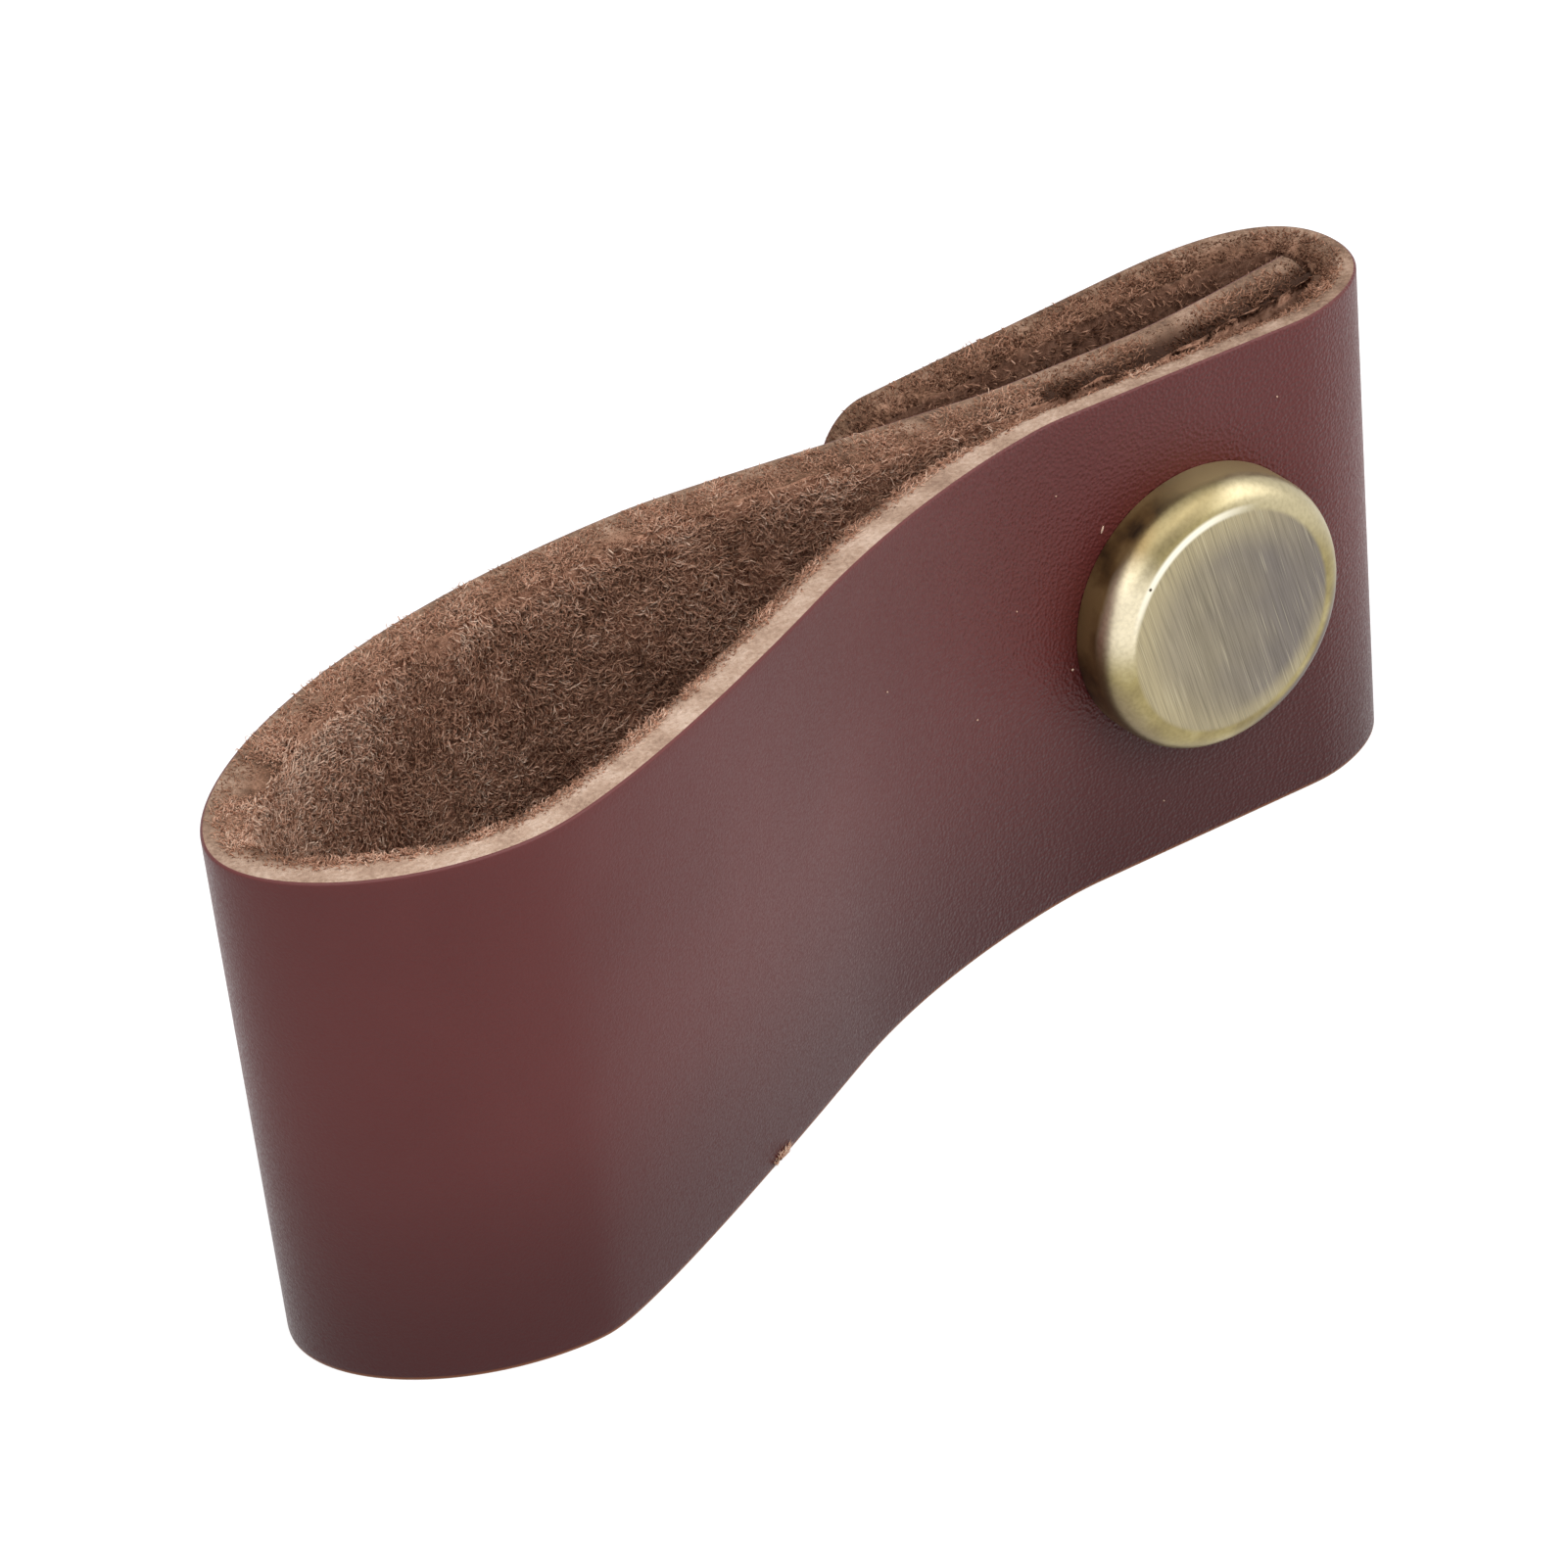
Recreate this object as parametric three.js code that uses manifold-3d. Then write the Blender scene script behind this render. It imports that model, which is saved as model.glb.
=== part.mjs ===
// A folded leather cabinet pull: one strap bent into a finger loop, a brass button that closes it
// at the front, and the screw that holds it to a drawer front from behind.
// Millimetres. X runs along the pull towards the fold, Y goes back from the button's seat towards
// the drawer front, Z is across the strap's width. The pull stands on the strap's lower long edge.
import * as THREE from 'three';
import { mergeVertices } from 'three/addons/utils/BufferGeometryUtils.js';
import Module from 'manifold-3d';

const wasm = await Module();
wasm.setup();

// The strap's stock
const strapWidth = 30;
const leather = 2.4; // thickness of the hide
const edgeRound = 0.15; // worn round the grain face's two long edges
const flapCorner = 3.5; // the flap's two corners are cut round, the tucked end is square

// The layers at the screw, from the front to the back
const tuckGap = 0.6; // between the front layer and the tucked layer
const flapGap = 3.6; // between the tucked layer and the flap
const flapSlope = 6.4; // degrees that the flap runs back towards the fold

// The button
const buttonRadius = 8.25;
const buttonHeight = 3.35;
const shoulderRadius = 1.7;
const footEdge = 0.1; // broken edge at the foot of the side wall
const barrelRadius = 3.2;
const barrelLength = 6.5;
const barrelEdge = 0.25; // broken edges at the barrel's end
const faceThickness = 1.5; // left in front of the blind bore
const drillPoint = 0.7; // height of the cone that the drill leaves at the bore's end

// The screw
const screwRadius = 2;
const screwBehindFlap = 12; // the length left for the drawer front
const headRadius = 4;
const headHeight = 2.6;
const headRim = 1.1; // straight side of the head below its dome
const screwTipCone = 0.5;
const recessSpan = 4.2; // across the cross recess at the head's top
const recessFoot = 1.3; // across it at its foot
const recessWing = 1.1;
const recessDepth = 1.7;
const recessTurn = 20; // degrees that the driver left the recess turned by

// Clearances
const holeClearance = 0.3; // the punched holes round the barrel, and the screw's tip in its bore
const threadClearance = 0.25;
const screwHoleClearance = 0.6; // the flap's hole is punched wide, because the flap leans

// Where the strap bends, measured from the edge of the flat seat under the button
const seatMargin = 0.25; // the seat is this much wider than the button all round
const foldBeyondSeat = 7.5;
const apexBehindTuck = 1.5; // the fold's outermost line lies this far behind the tucked layer
const flapStraightPastScrew = 4;
const flapEndPastScrew = 17.9;
const turnBeyondSeat = 19.7; // the front run changes from hollow to round here
const turnForward = 6.3;
const turnAngle = 28.5; // degrees that the front run stands off the seat's plane there
const bellyBeyondSeat = 43.1; // the part of the loop nearest to the hand
const bellyForward = 16.7;
const noseBeyondSeat = 55.9; // the loop's far end
const noseForward = 7.5;
const shoulderBeyondSeat = 22.1; // the loop's back is furthest back here
const shoulderBehindTuck = 2.7;
const tuckEndGap = 1.1; // between the tucked end and the inside of the fold
const tuckEndLift = 1.75; // the tucked end springs back by this much
const tuckEndAngle = 10;

// The strap is a little twisted: its upper edge stands forward of the lower one by these amounts
const turnLean = 1.04;
const bellyLean = -0.42;

// The button and screw share an axis, a little above the middle of the strap
const axisAboveMiddle = 0.6;
const axisHeight = strapWidth / 2 + axisAboveMiddle;

// Facets
const bendStep = 4; // degrees of bend for each facet of the strap
const longestFacet = 3;
const edgeFacets = 2;
const cornerFacets = 8;
const roundFacets = 96;
const smallRoundFacets = 48;
const shoulderFacets = 8;
const domeFacets = 6;

const radians = THREE.MathUtils.degToRad;

const leatherMaterial = new THREE.MeshStandardMaterial({ color: 0x63393a, roughness: 0.5, metalness: 0 });
const brassMaterial = new THREE.MeshStandardMaterial({ color: 0x8c8157, roughness: 0.35, metalness: 1 });
const steelMaterial = new THREE.MeshStandardMaterial({ color: 0xb4b6b8, roughness: 0.35, metalness: 1 });

// A closed geometry as a solid that can be cut
function toSolid(geometry) {
  const bare = geometry.clone();
  bare.deleteAttribute('normal');
  bare.deleteAttribute('uv');
  const merged = mergeVertices(bare, 1e-5);
  return new wasm.Manifold(new wasm.Mesh({
    numProp: 3,
    vertProperties: new Float32Array(merged.attributes.position.array),
    triVerts: new Uint32Array(merged.index.array),
  }));
}

// A solid back as a flat-shaded mesh with a name
function toMesh(solid, name, material) {
  const { vertProperties, triVerts } = solid.getMesh();
  const indexed = new THREE.BufferGeometry();
  indexed.setAttribute('position', new THREE.BufferAttribute(vertProperties, 3));
  indexed.setIndex(new THREE.BufferAttribute(triVerts, 1));
  const geometry = indexed.toNonIndexed();
  geometry.computeVertexNormals();
  const mesh = new THREE.Mesh(geometry, material);
  mesh.name = name;
  return mesh;
}

// Levels along Y and stops along X that the strap's path and the holes share
const tuckGrain = leather + tuckGap + leather;
const slope = Math.tan(radians(flapSlope));
const flapGrain = tuckGrain + flapGap + leather / Math.cos(radians(flapSlope));
const seatEdge = buttonRadius + seatMargin;
const foldReach = seatEdge + foldBeyondSeat;

// The stations of the strap's grain face seen from above, from the flap's end round the fold, the
// front and the loop to the tucked end. The grain is always on the left of the way along, so the
// heading, in degrees from +X, only falls where the strap wraps round. leave and arrive say how
// far a station's tangent pulls the curve towards the point where two neighbours' tangents meet.
function stations(side) {
  const turnShift = (side * turnLean) / 2;
  const bellyShift = (side * bellyLean) / 2;
  return [
    { x: -flapEndPastScrew, y: flapGrain - flapEndPastScrew * slope, heading: flapSlope, leave: 0.33 },
    {
      x: flapStraightPastScrew, y: flapGrain + flapStraightPastScrew * slope,
      heading: flapSlope, arrive: 0.33, leave: 0.71,
    },
    { x: foldReach, y: tuckGrain + apexBehindTuck, heading: -90, arrive: 0.63, leave: 0.85 },
    { x: seatEdge, y: 0, heading: -180, arrive: 0.08, leave: 0.33 },
    { x: -seatEdge, y: 0, heading: -180, arrive: 0.33, leave: 0.08 },
    {
      x: -seatEdge - turnBeyondSeat, y: -turnForward - turnShift,
      heading: turnAngle - 180, arrive: 0.85, leave: 0.63,
    },
    {
      x: -seatEdge - bellyBeyondSeat, y: -bellyForward - bellyShift,
      heading: -180, arrive: 0.67, leave: 0.53,
    },
    { x: -seatEdge - noseBeyondSeat, y: -noseForward, heading: -270, arrive: 0.5, leave: 0.36 },
    {
      x: -seatEdge - shoulderBeyondSeat, y: tuckGrain + shoulderBehindTuck,
      heading: -360, arrive: 0.66, leave: 0.15,
    },
    { x: -seatEdge, y: tuckGrain, heading: -360, arrive: 0.1, leave: 0.33 },
    { x: 0, y: tuckGrain, heading: -360, arrive: 0.33, leave: 0.7 },
    {
      x: foldReach - leather - tuckEndGap, y: tuckGrain + tuckEndLift,
      heading: tuckEndAngle - 360, arrive: 0.6,
    },
  ];
}

// One cubic curve between two stations. Its handles lie on the stations' tangents and reach a
// share of the way to the point where those meet. Parallel tangents share the distance instead.
function bend(from, to) {
  const start = new THREE.Vector2(from.x, from.y);
  const end = new THREE.Vector2(to.x, to.y);
  const out = new THREE.Vector2(Math.cos(radians(from.heading)), Math.sin(radians(from.heading)));
  const into = new THREE.Vector2(Math.cos(radians(to.heading)), Math.sin(radians(to.heading)));
  const across = end.clone().sub(start);
  const twist = out.cross(into);
  let outReach = Math.abs(across.dot(out));
  let intoReach = outReach;
  if (Math.abs(twist) > 0.01) {
    outReach = across.cross(into) / twist;
    intoReach = out.cross(across) / twist;
  }
  return new THREE.CubicBezierCurve(
    start,
    start.clone().addScaledVector(out, from.leave * outReach),
    end.clone().addScaledVector(into, -to.arrive * intoReach),
    end,
  );
}

// The path at one long edge of the strap: one curve for each pair of neighbouring stations
function edgePath(side) {
  const stops = stations(side);
  return stops.slice(1).map((stop, i) => bend(stops[i], stop));
}

// Distances along the flap's first stretch where its round corners need a section
function cornerSections(length) {
  const shares = [];
  for (let i = 0; i < cornerFacets; i += 1) {
    shares.push((flapCorner * (1 - Math.cos((i / cornerFacets) * (Math.PI / 2)))) / length);
  }
  shares.push(flapCorner / length);
  return shares;
}

// Where each curve is cut into facets: a list of [curve number, share of the curve]
function facetPlaces(curves) {
  const places = [];
  curves.forEach((curve, number) => {
    const turn = Math.abs(curve.getTangent(0).cross(curve.getTangent(1)));
    const bentBy = Math.asin(Math.min(turn, 1)) * THREE.MathUtils.RAD2DEG;
    const facets = Math.ceil(Math.max(bentBy / bendStep, curve.getLength() / longestFacet, 1));
    const corner = number === 0 ? cornerSections(curve.getLength()) : [0];
    corner.forEach((share) => places.push([number, share]));
    for (let i = 1; i < facets; i += 1) {
      if (i / facets > corner.at(-1)) places.push([number, i / facets]);
    }
  });
  places.push([curves.length - 1, 1]);
  return places;
}

// The strap's cut section as [depth below the grain, height] pairs, counter-clockwise seen along
// the way: two sharp corners on the flesh side, two worn ones on the grain side
function section(low, high) {
  const wornHigh = [];
  const wornLow = [];
  for (let i = 0; i <= edgeFacets; i += 1) {
    const angle = (i / edgeFacets) * (Math.PI / 2);
    const depth = edgeRound * (1 - Math.sin(angle));
    const rounding = edgeRound * (1 - Math.cos(angle));
    wornHigh.push([depth, high - rounding]);
    wornLow.unshift([depth, low + rounding]);
  }
  return [[leather, low], [leather, high], ...wornHigh, ...wornLow];
}

// The bare strap: sections carried along the path, upright between its lower and upper edge
function strapBlank() {
  const lower = edgePath(-1);
  const upper = edgePath(1);
  const flapLength = lower[0].getLength();
  const places = facetPlaces(lower);
  const positions = [];
  let ringSize = 0;
  for (const [number, share] of places) {
    const feet = lower[number].getPoint(share);
    const lean = upper[number].getPoint(share).sub(feet);
    const along = lower[number].getTangent(share).add(upper[number].getTangent(share)).normalize();
    const grainSide = new THREE.Vector2(-along.y, along.x);
    const fromEnd = number === 0 ? share * flapLength : flapLength;
    const bite = Math.max(flapCorner - fromEnd, 0);
    const cut = flapCorner - Math.sqrt(flapCorner ** 2 - bite ** 2);
    const ring = section(cut, strapWidth - cut);
    ringSize = ring.length;
    for (const [depth, height] of ring) {
      const raised = height / strapWidth;
      positions.push(
        feet.x + lean.x * raised - grainSide.x * depth,
        feet.y + lean.y * raised - grainSide.y * depth,
        height,
      );
    }
  }
  const index = [];
  for (let i = 1; i < ringSize - 1; i += 1) index.push(0, i, i + 1);
  for (let step = 0; step < places.length - 1; step += 1) {
    for (let i = 0; i < ringSize; i += 1) {
      const here = step * ringSize + i;
      const beside = step * ringSize + ((i + 1) % ringSize);
      index.push(here, here + ringSize, beside + ringSize, here, beside + ringSize, beside);
    }
  }
  const last = (places.length - 1) * ringSize;
  for (let i = 1; i < ringSize - 1; i += 1) index.push(last, last + i + 1, last + i);
  const geometry = new THREE.BufferGeometry();
  geometry.setAttribute('position', new THREE.Float32BufferAttribute(positions, 3));
  geometry.setIndex(index);
  return geometry;
}

// A round punch along Y through the button's axis, between two levels, turned by some degrees
function punch(radius, from, to, turnedBy = 0) {
  const cylinder = new THREE.CylinderGeometry(radius, radius, to - from, smallRoundFacets);
  cylinder.rotateZ(radians(turnedBy));
  cylinder.translate(0, (from + to) / 2, axisHeight);
  return toSolid(cylinder);
}

// The strap with its three holes: two for the button's barrel, one through the flap for the screw
function makeStrap() {
  const barrelHole = punch(barrelRadius + holeClearance, -leather, tuckGrain + flapGap / 2);
  const flapMiddle = flapGrain - leather / 2;
  const screwHole = punch(
    screwRadius + screwHoleClearance,
    flapMiddle - leather, flapMiddle + leather, flapSlope,
  );
  const punched = toSolid(strapBlank()).subtract(barrelHole).subtract(screwHole);
  return toMesh(punched, 'leather_strap', leatherMaterial);
}

// A turned piece: its profile as [radius, level along Y] pairs round the shared axis
function turned(profile, facets) {
  const points = profile.map(([radius, level]) => new THREE.Vector2(radius, level));
  const lathe = new THREE.LatheGeometry(points, facets);
  lathe.translate(0, 0, axisHeight);
  return toSolid(lathe);
}

const boreRadius = screwRadius + threadClearance;
const boreBottom = faceThickness - buttonHeight;

// The button: a flat face, a round shoulder, a straight wall, and a barrel with a blind bore
function makeButton() {
  const flatRadius = buttonRadius - shoulderRadius;
  const wallTop = shoulderRadius - buttonHeight;
  const profile = [[0, -buttonHeight]];
  for (let i = 0; i <= shoulderFacets; i += 1) {
    const angle = (i / shoulderFacets) * (Math.PI / 2);
    profile.push([flatRadius + shoulderRadius * Math.sin(angle), wallTop - shoulderRadius * Math.cos(angle)]);
  }
  profile.push(
    [buttonRadius, -footEdge],
    [buttonRadius - footEdge, 0],
    [barrelRadius, 0],
    [barrelRadius, barrelLength - barrelEdge],
    [barrelRadius - barrelEdge, barrelLength],
    [boreRadius + barrelEdge, barrelLength],
    [boreRadius, barrelLength - barrelEdge],
    [boreRadius, boreBottom + drillPoint],
    [0, boreBottom],
  );
  return toMesh(turned(profile, roundFacets), 'button', brassMaterial);
}

// Two opposite wings of the cross recess, which narrow towards the foot
function recessWings(headTop, turnedBy) {
  const outline = new THREE.Shape();
  outline.moveTo(-recessFoot / 2, -recessDepth);
  outline.lineTo(recessFoot / 2, -recessDepth);
  outline.lineTo(recessSpan / 2, 0);
  outline.lineTo(recessSpan / 2, recessDepth);
  outline.lineTo(-recessSpan / 2, recessDepth);
  outline.lineTo(-recessSpan / 2, 0);
  const wing = new THREE.ExtrudeGeometry(outline, { depth: recessWing, bevelEnabled: false });
  wing.translate(0, 0, -recessWing / 2);
  wing.rotateY(turnedBy);
  wing.translate(0, headTop, axisHeight);
  return toSolid(wing);
}

// The screw: driven in until its tip meets the bottom of the button's bore
function makeScrew() {
  const tip = boreBottom + drillPoint + holeClearance;
  const neck = flapGrain + screwBehindFlap;
  const headTop = neck + headHeight;
  const profile = [
    [0, tip],
    [screwRadius - screwTipCone, tip],
    [screwRadius, tip + screwTipCone],
    [screwRadius, neck],
    [headRadius, neck],
    [headRadius, neck + headRim],
  ];
  for (let i = 1; i < domeFacets; i += 1) {
    const angle = (i / domeFacets) * (Math.PI / 2);
    profile.push([headRadius * Math.cos(angle), neck + headRim + (headHeight - headRim) * Math.sin(angle)]);
  }
  profile.push([0, headTop]);
  const recessed = turned(profile, smallRoundFacets)
    .subtract(recessWings(headTop, radians(recessTurn)))
    .subtract(recessWings(headTop, radians(recessTurn + 90)));
  return toMesh(recessed, 'fixing_screw', steelMaterial);
}

const pieces = new THREE.Group();
pieces.add(makeStrap(), makeButton(), makeScrew());

// The origin lies under the middle of the pull, on the surface that it stands on
const box = new THREE.Box3().setFromObject(pieces);
const middle = box.getCenter(new THREE.Vector3());
pieces.position.set(-middle.x, -middle.y, -box.min.z);

const pull = new THREE.Group();
pull.add(pieces);

export default pull;
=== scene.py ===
# %% [markdown]
# # A folded leather cabinet pull
#
# A cabinet pull of this kind is one strip of hide. It is folded round behind a brass button, so
# that the rest of the strip stands out as a finger loop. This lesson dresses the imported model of
# that pull: the strap with its grain, its raw cut edges and its suede inside, the brushed button
# and the threaded screw. Every shape is worked out as a surface with numpy, because a strap that
# is bent along a path is a function of two numbers: how far along the path, and how far across.

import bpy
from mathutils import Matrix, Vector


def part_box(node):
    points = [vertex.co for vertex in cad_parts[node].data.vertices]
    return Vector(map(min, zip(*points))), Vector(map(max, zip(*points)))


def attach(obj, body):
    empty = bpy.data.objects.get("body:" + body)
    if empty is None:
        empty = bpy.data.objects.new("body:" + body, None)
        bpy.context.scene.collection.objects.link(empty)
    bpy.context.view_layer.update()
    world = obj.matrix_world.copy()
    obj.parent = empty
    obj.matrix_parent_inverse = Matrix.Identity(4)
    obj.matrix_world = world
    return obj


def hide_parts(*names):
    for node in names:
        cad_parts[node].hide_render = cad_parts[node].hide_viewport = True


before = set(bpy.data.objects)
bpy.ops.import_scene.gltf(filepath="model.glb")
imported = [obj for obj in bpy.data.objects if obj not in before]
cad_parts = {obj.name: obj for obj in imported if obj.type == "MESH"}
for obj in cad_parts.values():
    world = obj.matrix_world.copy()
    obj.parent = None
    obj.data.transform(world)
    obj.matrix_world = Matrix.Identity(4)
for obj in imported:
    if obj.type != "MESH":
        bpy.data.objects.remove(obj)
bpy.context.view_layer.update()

# %% Libraries, units and the seed of every random draw
import math

import bmesh
import bpy
import numpy as np
from mathutils import Matrix, Vector

MM = 0.001
ROOT = "root"
SEED = 1906


# %% [markdown]
# ## Where the button sits
#
# The strap's path is measured from the button: from its axis along the pull, and from the grain
# face that its foot rests on. The frame gives both, so the dressed strap lies exactly where the
# solid one does.

# %% The button's axis and seat, in millimetres of the frame
BUTTON_RADIUS = 8.25
BUTTON_HEIGHT = 3.35
button_low, button_high = (np.array(corner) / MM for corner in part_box("button"))
AXIS_X = (button_low[0] + button_high[0]) / 2
AXIS_Z = (button_low[2] + button_high[2]) / 2
SEAT_Y = button_low[1] + BUTTON_HEIGHT
print("axis x", round(AXIS_X, 3), "z", round(AXIS_Z, 3), "seat y", round(SEAT_Y, 3))


# %% [markdown]
# ## Small helpers
#
# Colours are written as sRGB hex values, the way that a colour picker shows them. Blender's
# shaders want linear light, so one function turns each of them. A mesh is filled from whole
# arrays, which is far quicker than adding its points one at a time. Finishes are networks of
# nodes, and one function adds a node, sets it and links it.

# %% Colour, mesh and node helpers
def linear(hex_colour):
    """An sRGB hex string as linear RGBA: (c/12.92) below 0.04045, else ((c+0.055)/1.055)^2.4."""
    channels = [int(hex_colour[i:i + 2], 16) / 255 for i in (1, 3, 5)]
    curve = [c / 12.92 if c <= 0.04045 else ((c + 0.055) / 1.055) ** 2.4 for c in channels]
    return (*curve, 1.0)


def build_mesh(name, points, faces, smooth=True):
    """A mesh object from an array of points in millimetres and an array of equal-sided faces."""
    mesh = bpy.data.meshes.new(name)
    faces = np.ascontiguousarray(faces, dtype=np.int32)
    mesh.vertices.add(len(points))
    mesh.vertices.foreach_set("co", (np.asarray(points) * MM).astype(np.float32).ravel())
    mesh.loops.add(faces.size)
    mesh.loops.foreach_set("vertex_index", faces.ravel())
    mesh.polygons.add(len(faces))
    mesh.polygons.foreach_set("loop_start", np.arange(0, faces.size, faces.shape[1], dtype=np.int32))
    mesh.polygons.foreach_set("use_smooth", np.full(len(faces), smooth))
    mesh.update(calc_edges=True)
    piece = bpy.data.objects.new(name, mesh)
    bpy.context.scene.collection.objects.link(piece)
    return piece


def add_attribute(piece, name, values):
    """One number for each point of the mesh, which a material can read."""
    layer = piece.data.attributes.new(name, "FLOAT", "POINT")
    layer.data.foreach_set("value", np.asarray(values, dtype=np.float32))


def add_node(tree, kind, inputs=None, **settings):
    """A shader node with its settings, and for each input a plain value, a socket or a node to link.

    Of a node, the first output in use is linked. The setting stops fills a colour ramp with pairs
    of a place and an sRGB hex colour."""
    node = tree.nodes.new("ShaderNode" + kind)
    stops = settings.pop("stops", [])
    while stops and len(node.color_ramp.elements) < len(stops):
        node.color_ramp.elements.new(0.5)
    for number, (place, colour) in enumerate(stops):
        node.color_ramp.elements[number].position = place
        node.color_ramp.elements[number].color = linear(colour)
    for key, value in settings.items():
        setattr(node, key, value)
    for key, value in (inputs or {}).items():
        if isinstance(value, bpy.types.Node):
            value = next(output for output in value.outputs if output.enabled)
        if isinstance(value, bpy.types.NodeSocket):
            tree.links.new(value, node.inputs[key])
        else:
            node.inputs[key].default_value = value
    return node


def new_material(name):
    """An empty node material and its tree."""
    material = bpy.data.materials.new(name)
    material.use_nodes = True
    material.node_tree.nodes.clear()
    return material, material.node_tree


def soft_noise(shape, blur, seed):
    """Smooth random heights on a grid: white noise, blurred by a bell curve along both axes."""
    field = np.random.default_rng(seed).normal(size=shape)
    for axis, width in enumerate(blur):
        reach = int(3 * width) + 1
        bell = np.exp(-0.5 * (np.arange(-reach, reach + 1) / width) ** 2)
        padded = np.pad(field, [(reach, reach) if a == axis else (0, 0) for a in (0, 1)], "wrap")
        field = np.apply_along_axis(lambda line: np.convolve(line, bell, "valid"), axis, padded)
    return field / field.std()


# %% [markdown]
# ## The strap's path
#
# Seen from above, the strap is one line: from the flap's end, round the fold, along the front
# under the button, round the loop and back between the layers. The path is made of a few
# stations. Each gives a place, a heading and how hard its tangent pulls, and a cubic curve joins
# each pair. The real strap is a little twisted, so its upper edge has a path of its own.

# %% Sizes of the strap, as in the solid model
STRAP_WIDTH = 30.0
LEATHER = 2.4
EDGE_ROUND = 0.15
FLAP_CORNER = 3.5
TUCK_GAP = 0.6
FLAP_GAP = 3.6
FLAP_SLOPE = math.radians(6.4)
TUCK_GRAIN = LEATHER + TUCK_GAP + LEATHER
FLAP_GRAIN = TUCK_GRAIN + FLAP_GAP + LEATHER / math.cos(FLAP_SLOPE)
SEAT_EDGE = BUTTON_RADIUS + 0.25
FOLD_REACH = SEAT_EDGE + 7.5
NOSE_REACH = SEAT_EDGE + 55.9
FLAP_END = 17.9
TURN_LEAN, BELLY_LEAN = 1.04, -0.42


def stations(side):
    """The stations of one long edge, side -1 lower or 1 upper: x, y, heading, arrive, leave."""
    slope = math.tan(FLAP_SLOPE)
    angle = math.degrees(FLAP_SLOPE)
    return [
        (-FLAP_END, FLAP_GRAIN - FLAP_END * slope, angle, 0.33, 0.33),
        (4.0, FLAP_GRAIN + 4.0 * slope, angle, 0.33, 0.71),
        (FOLD_REACH, TUCK_GRAIN + 1.5, -90, 0.63, 0.85),
        (SEAT_EDGE, 0, -180, 0.08, 0.33),
        (-SEAT_EDGE, 0, -180, 0.33, 0.08),
        (-SEAT_EDGE - 19.7, -6.3 - side * TURN_LEAN / 2, 28.5 - 180, 0.85, 0.63),
        (-SEAT_EDGE - 43.1, -16.7 - side * BELLY_LEAN / 2, -180, 0.67, 0.53),
        (-NOSE_REACH, -7.5, -270, 0.5, 0.36),
        (-SEAT_EDGE - 22.1, TUCK_GRAIN + 2.7, -360, 0.66, 0.15),
        (-SEAT_EDGE, TUCK_GRAIN, -360, 0.1, 0.33),
        (0, TUCK_GRAIN, -360, 0.33, 0.7),
        (FOLD_REACH - LEATHER - 1.1, TUCK_GRAIN + 1.75, 10 - 360, 0.6, 0.33),
    ]


print("grain faces: tucked layer at", round(TUCK_GRAIN, 2), "mm, flap at", round(FLAP_GRAIN, 2), "mm")

# %% The path's curves, evened out and looked up by length
STEP = 0.1
SHARES = np.linspace(0, 1, 200, endpoint=False)


def bend(start, end):
    """A cubic curve: its inner points lie on the end tangents, a share of the way to their cross."""
    a, b = np.array(start[:2]), np.array(end[:2])
    headings = math.radians(start[2]), math.radians(end[2])
    out, into = (np.array([math.cos(angle), math.sin(angle)]) for angle in headings)
    across = b - a
    twist = out[0] * into[1] - out[1] * into[0]
    reach_out = reach_in = abs(across @ out)
    if abs(twist) > 0.01:
        reach_out = (across[0] * into[1] - across[1] * into[0]) / twist
        reach_in = (out[0] * across[1] - out[1] * across[0]) / twist
    p1, p2 = a + start[4] * reach_out * out, b - end[3] * reach_in * into
    t = SHARES[:, None]
    return (1 - t) ** 3 * a + 3 * (1 - t) ** 2 * t * p1 + 3 * (1 - t) * t ** 2 * p2 + t ** 3 * b


def edge_path(side):
    """All the curves of one edge in a row, as an array of points."""
    stops = stations(side)
    curves = [bend(a, b) for a, b in zip(stops, stops[1:])]
    return np.concatenate([*curves, [stops[-1][:2]]])


def even_out(points, width=7):
    """A bell-curve average along the path, which makes its curvature change gradually."""
    reach = 3 * width
    bell = np.exp(-0.5 * (np.arange(-reach, reach + 1) / width) ** 2)
    bell /= bell.sum()
    before = 2 * points[0] - points[reach:0:-1]
    after = 2 * points[-1] - points[-2:-reach - 2:-1]
    padded = np.concatenate([before, points, after])
    return np.stack([np.convolve(padded[:, i], bell, "valid") for i in (0, 1)], axis=1)


lower_raw, upper_raw = edge_path(-1), edge_path(1)
middle_raw = (lower_raw + upper_raw) / 2
raw_length = np.concatenate([[0], np.cumsum(np.hypot(*np.diff(middle_raw, axis=0).T))])
ALONG = np.arange(0, raw_length[-1], STEP)
LENGTH = ALONG[-1]
LOWER, UPPER = (
    even_out(np.stack([np.interp(ALONG, raw_length, raw[:, i]) for i in (0, 1)], axis=1))
    for raw in (lower_raw, upper_raw)
)
heading = np.gradient((LOWER + UPPER) / 2, axis=0)
heading /= np.linalg.norm(heading, axis=1, keepdims=True)
OUTWARD = np.stack([-heading[:, 1], heading[:, 0]], axis=1)
print("strap length", round(float(LENGTH), 1), "mm")


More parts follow.
